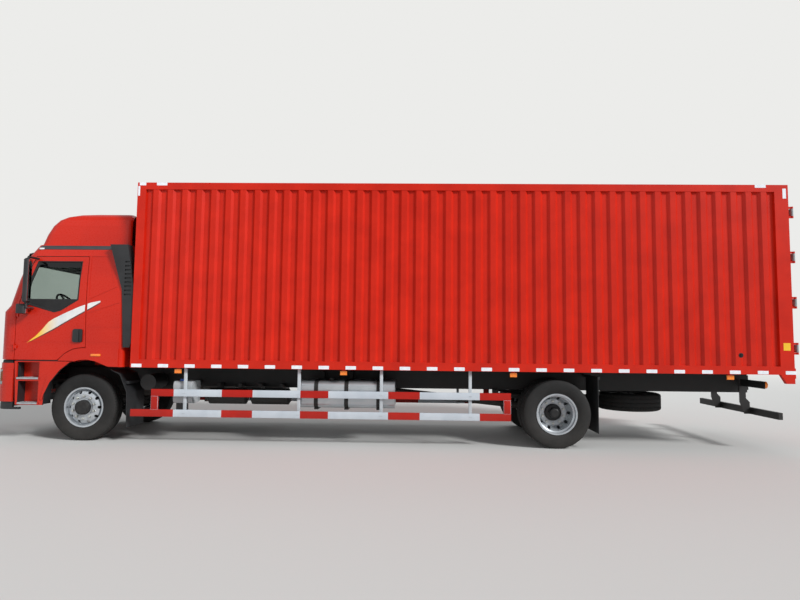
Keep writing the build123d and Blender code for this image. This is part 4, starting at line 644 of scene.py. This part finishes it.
for side, label in sides:
    # the lock rods stand off the doors' skin; the mirrors' faces look rearwards
    paintFaces("box_door_" + label, [("galvanised", lambda x, y, z, n: x < -10.530), ("boxEnamel", anywhere)])
    paintFaces("mirror_" + label, [("mirrorGlass", lambda x, y, z, n: n.x < -0.9 and z < 2.7),
                                   ("mouldedBlack", anywhere)])
# the front box is the grey one, with a blue cap
paintFaces("side_boxes", [("capBlue", lambda x, y, z, n: x > -1.7 and z > 0.912),
                          ("mouldedGrey", lambda x, y, z, n: x > -1.7), ("mouldedBlack", anywhere)])
paintFaces("fuel_tank", [("chassisBlack", lambda x, y, z, n: z > 0.942), ("tankAluminium", anywhere)])
paintFaces("lamps", [("lampCover", lambda x, y, z, n: x > 1.0 and n.x > -0.2),
                     ("reflector", lambda x, y, z, n: x > 1.0),
                     ("lensRed", lambda x, y, z, n: x < -10.0 and y < 0.97), ("lensAmber", anywhere)])
# the bumper's chin and the walls of its slots are black, and so is the cab's front behind the grille lid
paintFaces("front_bumper", [("mouldedBlack", lambda x, y, z, n: z < 0.586 or n.x < -0.5 and x < 1.24 and y < 1.19),
                            ("cabTopcoat", anywhere)])
paintFaces("cab_shell", [("mouldedBlack", lambda x, y, z, n: x > 1.2 and y < 0.868 and 1.238 < z < 1.937),
                         ("linedCab", anywhere)])
# black faces in the front arch, and painted shade on the undersides beside it
paintFaces("cab_steps", [("mouldedBlack", archFacesAndUndersideShade), ("cabTopcoat", anywhere)])
print("faces painted")


def offsetOutline(points, distance):
    # a closed outline moved outwards, or inwards with a negative distance
    area = sum(a[0] * b[1] - b[0] * a[1] for a, b in zip(points, points[1:] + points[:1]))
    turn = 1 if area > 0 else -1
    made = []
    for k, point in enumerate(points):
        before = Vector(point) - Vector(points[k - 1])
        after = Vector(points[(k + 1) % len(points)]) - Vector(point)
        first = Vector((before.y, -before.x)).normalized() * turn
        second = Vector((after.y, -after.x)).normalized() * turn
        middle = (first + second).normalized()
        made.append(tuple(Vector(point) + middle * (distance / max(0.35, middle.dot(first)))))
    return made


# door windows: rubber seal, dark foot of the pane, smoked strip along its top
windowFoot = [(0.084, 2.118), (0.340, 1.955), (0.440, 1.930), (0.900, 2.062)]
windowOutline = [windowFoot[3], (0.850, 2.370), (0.750, 2.706), (0.072, 2.706)] + windowFoot[:3]
sealLook = {"grow": 0.006, "inset": 0.020, "proud": 0.003, "deep": 0.010, "step": 0.06}
footLook = {"rear": 0.098, "front": 0.878, "topZ": 2.128, "above": 0.016}
shadeLook = {"rear": 0.095, "front": 0.755, "highZ": 2.690, "lowZ": 2.612}


def lineAt(line, x):
    # height of a line of points at a distance ahead of the front axle
    for (x0, z0), (x1, z1) in zip(line, line[1:]):
        if min(x0, x1) <= x <= max(x0, x1):
            return z0 + (z1 - z0) * (x - x0) / (x1 - x0)
    return line[-1][1]


for side, label in sides:
    door = "cab_door_" + label
    glass = "door_glass_" + label
    bm = bmesh.new()
    outer = divided(offsetOutline(windowOutline, sealLook["grow"]), sealLook["step"])
    inner = divided(offsetOutline(windowOutline, -sealLook["inset"]), sealLook["step"])
    proud, deep = side * sealLook["proud"], side * sealLook["deep"]
    rings = []
    for x, z in outer:
        x1, z1 = min(inner, key=lambda point: math.dist(point, (x, z)))
        x, x1 = frontAxleX + x, frontAxleX + x1
        edge = sidePoint(door, side, x, z, 0.0005)
        rings.append([edge, edge + Vector((0, proud, 0)), Vector(((x + x1) / 2, edge.y + proud, (z + z1) / 2)),
                      Vector((x1, edge.y - deep, z1)), Vector((x1, edge.y - 2 * deep, z1))])
    rings.append(rings[0])
    addLoft(bm, rings, 0, around=False)
    bmesh.ops.remove_doubles(bm, verts=bm.verts, dist=0.0001)
    xs = spaced(footLook["rear"], footLook["front"], 25)
    foot = [(frontAxleX + x, lineAt(windowFoot, x) + footLook["above"]) for x in xs]
    addBand(bm, glass, [(x, footLook["topZ"]) for x, z in foot], foot, side, 0.002)
    makePiece("window_seal_" + label, bm, ["sealRubber"], door)
    bm = bmesh.new()
    xs = [frontAxleX + x for x in spaced(shadeLook["rear"], shadeLook["front"], 17)]
    highLine, lowLine = [[(x, shadeLook[key]) for x in xs] for key in ("highZ", "lowZ")]
    addBand(bm, glass, highLine, lowLine, side, 0.003, across=2)
    makePiece("window_shade_" + label, bm, ["smokedAcrylic"], door)
print("window seals")

# windscreen: black ceramic border, and two wipers parked along its foot
screenLook = {"lowZ": 2.085, "highZ": 2.800, "lowHalf": 0.996, "highHalf": 0.926}
# the border's four strips: low and high share of the height, left and right share of the half width
borderStrips = [(0.02, 0.12, -1, 1), (0.93, 0.98, -1, 1), (0.12, 0.93, -1, -0.95), (0.12, 0.93, 0.95, 1)]
wiperLook = {"footV": 0.035, "tipV": 0.135, "bladeV": 0.130, "bladeHalf": 0.30, "arm": 0.007, "blade": 0.006}
# place of each wiper's pivot and tip, as shares of the half width
wiperPlaces = [(0.30, -0.32), (-0.62, -0.04)]
wiperKnob = [(-0.004, 0.020), (0.022, 0.018), (0.034, 0.012), (0.036, 0.002)]


def screenPoint(u, v, lift):
    # u runs from -1 to 1 across the windscreen, v from 0 at its foot to 1 at its top
    z = screenLook["lowZ"] + (screenLook["highZ"] - screenLook["lowZ"]) * v
    half = screenLook["lowHalf"] + (screenLook["highHalf"] - screenLook["lowHalf"]) * v
    return frontPoint("windscreen", u * half, z, lift)


bm = bmesh.new()
for low, high, left, right in borderStrips:
    across = max(2, round(24 * (right - left) / 2))
    us = spaced(left, right, across + 1)
    addSheet(bm, [[screenPoint(u, v, 0.0015) for u in us] for v in spaced(low, high, 5)])
makePiece("screen_border", bm, ["sealRubber"], "cab")
bm = bmesh.new()
for pivot, tip in wiperPlaces:
    shares = spaced(0, 1, 9)
    # the arm stands off the glass at its root and comes closer after a quarter of its length
    foot, rise = wiperLook["footV"], wiperLook["tipV"] - wiperLook["footV"]
    arm = [screenPoint(pivot + (tip - pivot) * t, foot + rise * t, 0.020 if t > 0.25 else 0.030) for t in shares]
    addTube(bm, arm, wiperLook["arm"], 8)
    blade = [screenPoint(tip + wiperLook["bladeHalf"] * (2 * t - 1),
                         wiperLook["bladeV"] + 0.012 * math.sin(t * math.pi), 0.009) for t in spaced(0, 1, 13)]
    addTube(bm, blade, wiperLook["blade"], 6)
    addTurned(bm, wiperKnob, screenPoint(pivot, wiperLook["footV"], 0), "x", 20, capped=True)
makePiece("wipers", bm, ["mouldedBlack"], "cab")
print("windscreen trim")

# satin strip along the roof's edge, with a small white lamp at its front end
stripLook = {"rear": -0.335, "front": 0.780, "lampX": 0.745, "lampZ": 2.912, "lampSize": (0.090, 0.024, 0.036)}
# height of the strip's section, and how far it stands off the cab
stripSection = [(2.962, 0.001), (2.958, 0.006), (2.930, 0.008), (2.902, 0.006), (2.898, 0.001)]
repeaterLook = {"x": -0.234, "y": 1.251, "z": 1.290, "width": 0.150, "height": 0.036}
plateLook = {"rear": 0.624, "innerY": 1.085, "outerY": 1.2495, "thick": 0.003, "lip": 0.024, "rows": 14,
             "studYs": (1.115, 1.165, 1.215)}
# height of each ledge and the place of its front end
ledges = [(0.9455, 0.955), (0.5755, 0.925)]
stud = [(0.011, 0), (0, 0.003), (-0.011, 0), (0, -0.003)]
for side, label in sides:
    bm = bmesh.new()
    rings = [[sidePoint("cab_shell", side, frontAxleX + x, z, lift) for z, lift in stripSection]
             for x in spaced(stripLook["rear"], stripLook["front"], 31)]
    addLoft(bm, [ring for ring in rings if None not in ring], 0, around=False)
    lamp = sidePoint("cab_shell", side, frontAxleX + stripLook["lampX"], stripLook["lampZ"])
    half = Vector(stripLook["lampSize"]) / 2
    addBlock(bm, lamp - half, lamp + half, 0.006, 1, 3)
    makePiece("roof_strip_" + label, bm, ["stripGrey", "lampWhite"], "cab")

    # amber repeater lamp on the wheel arch
    bm = bmesh.new()
    outline = roundedOutline(repeaterLook["width"], repeaterLook["height"], 0.012)
    place = placer(frontAxleX + repeaterLook["x"], repeaterLook["y"], repeaterLook["z"], side)
    addPrism(bm, outline, place, -0.002, 0.010, 0, 0.004)
    makePiece("repeater_" + label, bm, ["lensAmber"], "cab")

    # bright tread plates on the step ledges
    bm = bmesh.new()
    for low, front in ledges:
        xs = (plateLook["rear"], front)
        high = low + plateLook["thick"]
        outerY = plateLook["outerY"]
        sideBlock(bm, side, xs, (plateLook["innerY"], outerY), (low, high), 0.001, 0, 1)
        sideBlock(bm, side, xs, (outerY - 0.004, outerY), (low - plateLook["lip"], high), 0.001, 0, 1)
        for k, x in enumerate(spaced(xs[0] + 0.02, xs[1] - 0.02, plateLook["rows"])):
            # the studs lean one way in one row and the other way in the next
            turn = Matrix.Rotation(math.radians(45 if k % 2 else -45), 2)
            leaning = [turn @ Vector(corner) for corner in stud]
            for y in plateLook["studYs"]:
                middle = Vector((frontAxleX + x, side * (y + 0.02 * (k % 2)), high))
                addPrism(bm, leaning, lambda a, b, depth: middle + Vector((a, b, depth)), 0, 0.0015)
    makePiece("step_plates_" + label, bm, ["treadPlate"], "chassis")

# straps round the fuel tank
tankLook = {"y": 0.840, "z": 0.740, "width": 0.620, "height": 0.400, "corner": 0.090, "strap": 0.060,
            "straps": (-3.537, -3.990, -4.470)}
bm = bmesh.new()
for place in tankLook["straps"]:
    rings = []
    for along, grow in ((-0.5, 0.0005), (-0.5, 0.005), (0.5, 0.005), (0.5, 0.0005)):
        width, height, corner = [tankLook[key] for key in ("width", "height", "corner")]
        outline = roundedOutline(width + 2 * grow, height + 2 * grow, corner + grow, 8)
        x = frontAxleX + place + along * tankLook["strap"]
        rings.append([(x, tankLook["y"] + a, tankLook["z"] + b) for a, b in outline])
    addLoft(bm, rings)
makePiece("tank_straps", bm, ["chassisBlack"], "chassis")
print("strips, steps and straps")

# generic sweeping stripe on the cab's sides, yellow at its low front end and silver white behind
stripeUpper = [(0.830, 1.466), (0.700, 1.570), (0.600, 1.675), (0.520, 1.775), (0.440, 1.830), (0.250, 1.925),
               (0.060, 2.012), (-0.110, 2.075), (-0.262, 2.108)]
stripeLower = [(0.830, 1.462), (0.700, 1.530), (0.560, 1.610), (0.440, 1.675), (0.250, 1.790), (0.060, 1.900),
               (-0.110, 1.995), (-0.262, 2.085)]
stripeLook = {"step": 0.02, "gap": 0.002, "edge": 0.016, "edgeFront": 0.80, "taper": 0.3}


def addStripe(bm, node, side, front, rear, upper, lower, finish, lift):
    xs = spaced(front, rear, max(2, math.ceil((front - rear) / stripeLook["step"])) + 1)
    lines = [[(frontAxleX + x, line(x)) for x in xs] for line in (upper, lower)]
    addBand(bm, node, *lines, side, lift, finish)


def stripeFoot(x):
    return lineAt(stripeLower, x)


def edgeTop(x):
    return stripeFoot(x) - stripeLook["gap"]


def edgeFoot(x):
    # the dark edge grows from a tenth to its full width
    share = (stripeLower[0][0] - x) / stripeLook["taper"]
    return edgeTop(x) - stripeLook["edge"] * min(1, max(0.1, share))


for side, label in sides:
    door = "cab_door_" + label
    for name, node, body, front, rear in (("stripe_door_", door, door, 0.828, -0.050),
                                          ("stripe_shell_", "cab_shell", "cab", -0.066, -0.260)):
        bm = bmesh.new()
        addStripe(bm, node, side, front, rear, lambda x: lineAt(stripeUpper, x), stripeFoot, 0, 0.0010)
        addStripe(bm, node, side, min(front, stripeLook["edgeFront"]), rear, edgeTop, edgeFoot, 1, 0.0008)
        makePiece(name + label, bm, ["vinylFade", "vinylDark"], body)
print("stripes")

# round vent in the left wall and a blank yellow sticker on the rear post
ventLook = {"x": -9.750, "z": 1.390, "radius": 0.024, "slats": 5, "slatReach": 0.016}
ventRim = [(0.0, 0.034), (0.003, 0.034), (0.004, 0.026), (-0.001, 0.024), (-0.001, 0.001)]
stickerLook = {"x": -10.412, "z": 1.520, "width": 0.100, "height": 0.110}
bm = bmesh.new()
spot = sidePoint("box_wall_left", 1, frontAxleX + ventLook["x"], ventLook["z"])
addTurned(bm, ventRim, spot, "y", 28, 0, True)
for z in spaced(-ventLook["slatReach"], ventLook["slatReach"], ventLook["slats"]):
    half = math.sqrt(ventLook["radius"] ** 2 - z * z)
    addBlock(bm, spot + Vector((-half, -0.001, z - 0.0015)), spot + Vector((half, 0.003, z + 0.0015)), 0)
makePiece("wall_vent", bm, ["sealRubber"], "chassis")
bm = bmesh.new()
outline = roundedOutline(stickerLook["width"], stickerLook["height"], 0.004, 2)
addPrism(bm, outline, placer(frontAxleX + stickerLook["x"], boxSideY, stickerLook["z"]), *film)
makePiece("blank_sticker", bm, ["vinylYellow"], "chassis")
print("vent and sticker")

# dark blocks as painted shade, where gaps and recesses lie in shade: between bumper and steps, over the steps, at
# the cab's foot
fillers = [
    # from and to: ahead of the front axle, from the middle plane, in height; edge
    ((0.945, 1.060), (1.165, 1.180), (0.545, 1.150), 0.003),
    ((0.951, 0.959), (1.085, 1.209), (0.948, 1.174), 0.002),
    ((0.330, 0.990), (1.160, 1.226), (1.1905, 1.204), 0.003),
]
for side, label in sides:
    bm = bmesh.new()
    for xs, ys, zs, edge in fillers:
        sideBlock(bm, side, xs, ys, zs, edge)
    # these black blocks are painted shade, not parts of the truck
    makePiece("step_shade_sheet_" + label, bm, ["mouldedBlack"], "chassis")
# the seal on the bumper's top: its section, inwards from the bumper's face and in height
sealSection = [(0.012, 1.154), (0.016, 1.178), (0.024, 1.202), (0.034, 1.202), (0.034, 1.154)]
sealCentre = Vector((frontAxleX + 0.9, 0, 1.14))
bm = bmesh.new()
rings = []
for degrees in spaced(-96, 96, 61):
    outwards = Vector((math.cos(math.radians(degrees)), math.sin(math.radians(degrees)), 0))
    edge = landing("front_bumper", sealCentre + outwards * beyondFront, -outwards, 0)
    if edge is not None:
        places = [(edge - outwards * depth, z) for depth, z in sealSection]
        rings.append([(place.x, place.y, z) for place, z in places])
addLoft(bm, rings)
makePiece("bumper_seal", bm, ["sealRubber"], "chassis")
print("fillers")

# headlamp bowls and the amber corner inside the clear lenses
bowl = [(0.000, 0.062), (-0.003, 0.060), (-0.014, 0.038), (-0.018, 0.014), (-0.010, 0.012), (-0.008, 0.001)]
# distance from the middle plane, height, and size against the full bowl
bowlPlaces = [(0.850, 0.985, 1.0), (0.990, 0.985, 1.0), (0.850, 0.885, 0.72), (0.990, 0.885, 0.72)]
cornerLamp = {"y": 1.105, "z": 0.950, "width": 0.050, "height": 0.150}
bm = bmesh.new()
for side, label in sides:
    for y, z, size in bowlPlaces:
        spot = frontPoint("lamps", side * y, z, -0.008)
        addTurned(bm, [(along, radius * size) for along, radius in bowl], spot, "x", 32)
    lamp = frontPoint("lamps", side * cornerLamp["y"], cornerLamp["z"], -0.016)
    outline = roundedOutline(cornerLamp["width"], cornerLamp["height"], 0.016)
    addPrism(bm, outline, lambda a, b, depth: lamp + Vector((depth, a, b)), -0.010, 0, 1, 0.003)
makePiece("headlamp_bowls", bm, ["reflector", "lensAmber"], "chassis")
print("headlamps")

# seats and bunk: crowned cushions with pulled in sides, sewn channels and a piped edge
seatLook = {"power": 7, "crown": 0.16, "pull": 0.03, "channelDepth": 0.06, "channelWidth": 0.045, "piping": 0.005,
            "pipingAt": 0.55}


def cushionPoint(u, v, w, low, high, channels):
    # a point of the cushion from three numbers between -1 and 1; w is the thin direction, channels lie across u
    power = seatLook["power"]
    reach = (abs(u) ** power + abs(v) ** power + abs(w) ** power) ** (1 / power)
    u, v, w = u / reach, v / reach, w / reach
    dome = (1 - u * u) * (1 - v * v)
    near = sum(math.exp(-((u - channel) / seatLook["channelWidth"]) ** 2) for channel in channels)
    groove = near * seatLook["channelDepth"] * (1 - v ** 4) if abs(w) > 0.5 else 0
    w = w * (1 - seatLook["crown"] * (1 - dome) - groove)
    u = u * (1 - seatLook["pull"] * (1 - v * v))
    v = v * (1 - seatLook["pull"] * (1 - u * u))
    return [(a + b) / 2 + t * (b - a) / 2 for a, b, t in zip(low, high, (u, v, w))]


def makeCushion(name, low, high, order, channels, cuts):
    # order says which axes of the truck the cushion's long, cross and thin directions are
    bm = bmesh.new()
    bmesh.ops.create_cube(bm, size=2)
    bmesh.ops.subdivide_edges(bm, edges=bm.edges[:], cuts=cuts, use_grid_fill=True)
    lowInOrder, highInOrder = [[corner[k] for k in order] for corner in (low, high)]

    def placed(u, v, w):
        point = Vector()
        for k, value in zip(order, cushionPoint(u, v, w, lowInOrder, highInOrder, channels)):
            point[k] = value
        return point

    for vert in bm.verts:
        vert.co = placed(*vert.co)
    outline = divided([(-1, -1), (1, -1), (1, 1), (-1, 1)], 0.08)
    middle = (Vector(low) + Vector(high)) / 2
    for w in (seatLook["pipingAt"], -seatLook["pipingAt"]):
        points = [placed(u, v, w) for u, v in outline]
        points = [point + (point - middle).normalized() * 0.001 for point in points]
        addTube(bm, points + points[:2], seatLook["piping"], 8, 1)
    piece = makePiece(name, bm, ["seatFabric", "trimGrey"], "cab", sharp=80)


floorZ = 1.420
seatY = 0.560
baseLook = {"x": 0.25, "length": 0.316, "width": 0.336, "fold": 0.012}
cushions = [
    # name, from and to ahead of the front axle, half width, from and to above the floor, axes, channels, cuts
    ("seat_cushion_", 0.004, 0.500, 0.25, 0.305, 0.430, (1, 0, 2), (-0.5, 0.5), 22),
    ("seat_back_", -0.116, 0.000, 0.24, 0.335, 1.048, (2, 1, 0), (-0.35, 0.25), 22),
    ("seat_headrest_", -0.098, -0.010, 0.14, 1.054, 1.216, (1, 2, 0), (), 14),
]
for side, label in sides:
    for name, rear, front, half, low, high, order, channels, cuts in cushions:
        makeCushion(name + label, (frontAxleX + rear, side * seatY - half, floorZ + low),
                    (frontAxleX + front, side * seatY + half, floorZ + high), order, channels, cuts)
makeCushion("bunk_mattress", (frontAxleX - 0.568, -1.045, floorZ + 0.235),
            (frontAxleX - 0.124, 1.045, floorZ + 0.378), (1, 0, 2), spaced(-0.75, 0.75, 7), 40)
bm = bmesh.new()
addBlock(bm, (frontAxleX - 0.566, -1.048, floorZ + 0.002), (frontAxleX - 0.126, 1.048, floorZ + 0.240), 0.012,
         steps=3)
for side, label in sides:
    # suspension base with bellows folds
    rings = []
    for k, z in enumerate(spaced(0.002, 0.292, 9)):
        grow = baseLook["fold"] * (k % 2)
        outline = roundedOutline(baseLook["length"] + 2 * grow, baseLook["width"] + 2 * grow, 0.05)
        rings.append([(frontAxleX + baseLook["x"] + a, side * seatY + b, floorZ + z) for a, b in outline])
    addLoft(bm, rings, capped=True)
makePiece("seat_bases", bm, ["trimGrey"], "cab", stands=["seats"])
print("seats")

# rubber gaskets round the rear doors
gasketLook = {"width": 0.026, "proud": 0.004, "inner": 0.010, "outer": 1.165, "bottom": 1.243, "top": 3.775,
              "probeY": 0.60, "probeZ": 1.262}
# shares of the gasket's width and of its height off the door
gasketSection = [(0, 0.0002), (0, 0.6), (0.2, 1), (0.8, 1), (1, 0.6), (1, 0.0002)]
for side, label in sides:
    node = "box_door_" + label
    start = (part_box(node)[0].x - 1, side * gasketLook["probeY"], gasketLook["probeZ"])
    faceX = landing(node, start, (1, 0, 0), 0).x
    bm = bmesh.new()
    rings = []
    for y, z in (("inner", "bottom"), ("outer", "bottom"), ("outer", "top"), ("inner", "top")):
        ring = []
        for across, proud in gasketSection:
            reach = across * gasketLook["width"]
            ring.append((faceX - proud * gasketLook["proud"],
                         side * (gasketLook[y] + (reach if y == "inner" else -reach)),
                         gasketLook[z] + (reach if z == "bottom" else -reach)))
        rings.append(ring)
    rings.append(rings[0])
    addLoft(bm, rings, 0, around=False)
    bmesh.ops.remove_doubles(bm, verts=bm.verts, dist=0.00005)
    makePiece("door_gasket_" + label, bm, ["sealRubber"], node)

# expanded mesh behind the slots of the grille lid and the bumper
meshLook = {"pitch": 0.022, "bar": 0.0022, "depth": 0.022, "off": 0.003}


def addMesh(bm, node, probeZ, half, low, high):
    # a dark plate with crossing bars that follows the front's curve
    count = round(2 * half / meshLook["pitch"])
    ys = spaced(-half, half, count + 1)
    xs = [frontPoint(node, y, probeZ).x - meshLook["depth"] for y in ys]
    addSheet(bm, [[(x, y, z) for x, y in zip(xs, ys)] for z in (low, high)])
    steps = round((high - low) / meshLook["pitch"])
    for k in range(0, count, 2):
        for rise in (1, -1):
            # each bar climbs to one side as far as the plate reaches
            reach = min(steps, count - k if rise > 0 else k)
            if reach:
                end = k + rise * reach
                bar = [(xs[k] + meshLook["off"], ys[k], low),
                       (xs[end] + meshLook["off"], ys[end], low + (high - low) * reach / steps)]
                addTube(bm, bar, meshLook["bar"], 4, 1)


# piece, the solid that it follows, body, and the plates: probe height, half width, low, high
meshes = [
    ("grille_mesh", "grille_lid", "grille_lid", [(1.400, 0.715, 1.285, 1.645)]),
    ("bumper_mesh", "front_bumper", "chassis", [(0.800, 0.615, 0.885, 1.068), (0.800, 0.445, 0.645, 0.735)]),
]
for name, node, body, plates in meshes:
    bm = bmesh.new()
    for plate in plates:
        addMesh(bm, node, *plate)
    makePiece(name, bm, ["mouldedBlack", "stripGrey"], body)
print("gaskets and meshes")


# the photograph's camera, in the truck's frame
view = {"x": frontAxleX - 4.981, "y": 9.784, "z": 1.5275, "yaw": 0.0236, "pitch": 0.0735, "roll": 0.0104,
        "lens": 25.88}
cameraData = bpy.data.cameras.new("camera")
cameraData.lens = view["lens"]
cameraData.sensor_width = 36
cameraData.clip_end = 500
camera = bpy.data.objects.new("camera", cameraData)
bpy.context.scene.collection.objects.link(camera)
# the camera looks down at first: it is rolled, raised past the level, and turned towards the truck's left side
camera.matrix_world = Matrix.Translation((view["x"], view["y"], view["z"]))
for angle, axis in ((math.pi + view["yaw"], "Z"), (math.pi / 2 + view["pitch"], "X"), (view["roll"], "Z")):
    camera.matrix_world = camera.matrix_world @ Matrix.Rotation(angle, 4, axis)
bpy.context.scene.camera = camera

# floor, world and lamps
studio = {"floor": "#CCCCCA", "backdrop": "#ECECEA", "sky": "#F2F5F8", "worldStrength": 0.46, "key": 3.0,
          "keyAngle": 12, "keyAim": (0.68, -0.5, -0.54), "fadeFrom": 14.0, "fadeTo": 34.0, "floorSize": 90}


def paperShader(tree):
    # pale paper that turns into the backdrop's own white far from the truck, for the camera and for reflections
    paper = addNode(tree, "BsdfPrincipled", {"Base Color": linear(studio["floor"]), "Roughness": 0.85,
                                             "Specular IOR Level": 0.1})
    beyond = addNode(tree, "Emission", {"Color": linear(studio["backdrop"])})
    place = addNode(tree, "TexCoord").outputs["Object"]
    reach = addNode(tree, "VectorMath", {"operation": "LENGTH", 0: place}).outputs["Value"]
    fade = addNode(tree, "MapRange", {"interpolation_type": "SMOOTHSTEP", "From Min": studio["fadeFrom"],
                                      "From Max": studio["fadeTo"], "Value": reach})
    path = addNode(tree, "LightPath").outputs
    direct = addNode(tree, "Math", {"operation": "MAXIMUM", 0: path["Is Camera Ray"], 1: path["Is Glossy Ray"]})
    share = addNode(tree, "Math", {"operation": "MULTIPLY", 0: fade, 1: direct})
    return addNode(tree, "MixShader", {0: share, 1: paper, 2: beyond})


bm = bmesh.new()
bmesh.ops.create_grid(bm, x_segments=4, y_segments=4, size=studio["floorSize"])
floorMesh = bpy.data.meshes.new("floor")
bm.to_mesh(floorMesh)
bm.free()
floor = bpy.data.objects.new("floor", floorMesh)
floorMesh.materials.append(newMaterial("paperFloor", paperShader))
bpy.context.scene.collection.objects.link(floor)

world = bpy.data.worlds.new("studioWorld")
world.use_nodes = True
bpy.context.scene.world = world
tree = world.node_tree
tree.nodes.clear()
path = addNode(tree, "LightPath").outputs
seen = addNode(tree, "Math", {"operation": "MAXIMUM", 0: path["Is Camera Ray"], 1: path["Is Transmission Ray"]})
light = addNode(tree, "Background", {"Color": linear(studio["sky"]), "Strength": studio["worldStrength"]})
backdrop = addNode(tree, "Background", {"Color": linear(studio["backdrop"]), "Strength": 1.0})
addNode(tree, "OutputWorld", {"Surface": addNode(tree, "MixShader", {0: seen, 1: light, 2: backdrop})})


def makeLamp(name, kind, place, direction, energy):
    lamp = bpy.data.lights.new(name, kind)
    lamp.energy = energy
    lampObject = bpy.data.objects.new(name, lamp)
    lampObject.location = place
    lampObject.rotation_euler = direction.to_track_quat("-Z", "Y").to_euler()
    bpy.context.scene.collection.objects.link(lampObject)
    return lamp


lampPlaces = [
    # name, place, aim, size, power in watts
    ("fill", (16, 13, 9), (3, 0, 1.5), 18, 640),
    ("back", (-4, -18, 15), (0, 0, 2), 22, 1280),
]
for name, place, aim, size, power in lampPlaces:
    makeLamp(name, "AREA", place, Vector(aim) - Vector(place), power).size = size
makeLamp("key", "SUN", (0, 0, 0), Vector(studio["keyAim"]), studio["key"]).angle = math.radians(studio["keyAngle"])
bpy.context.scene.view_settings.view_transform = "Standard"
print("camera, floor and light")
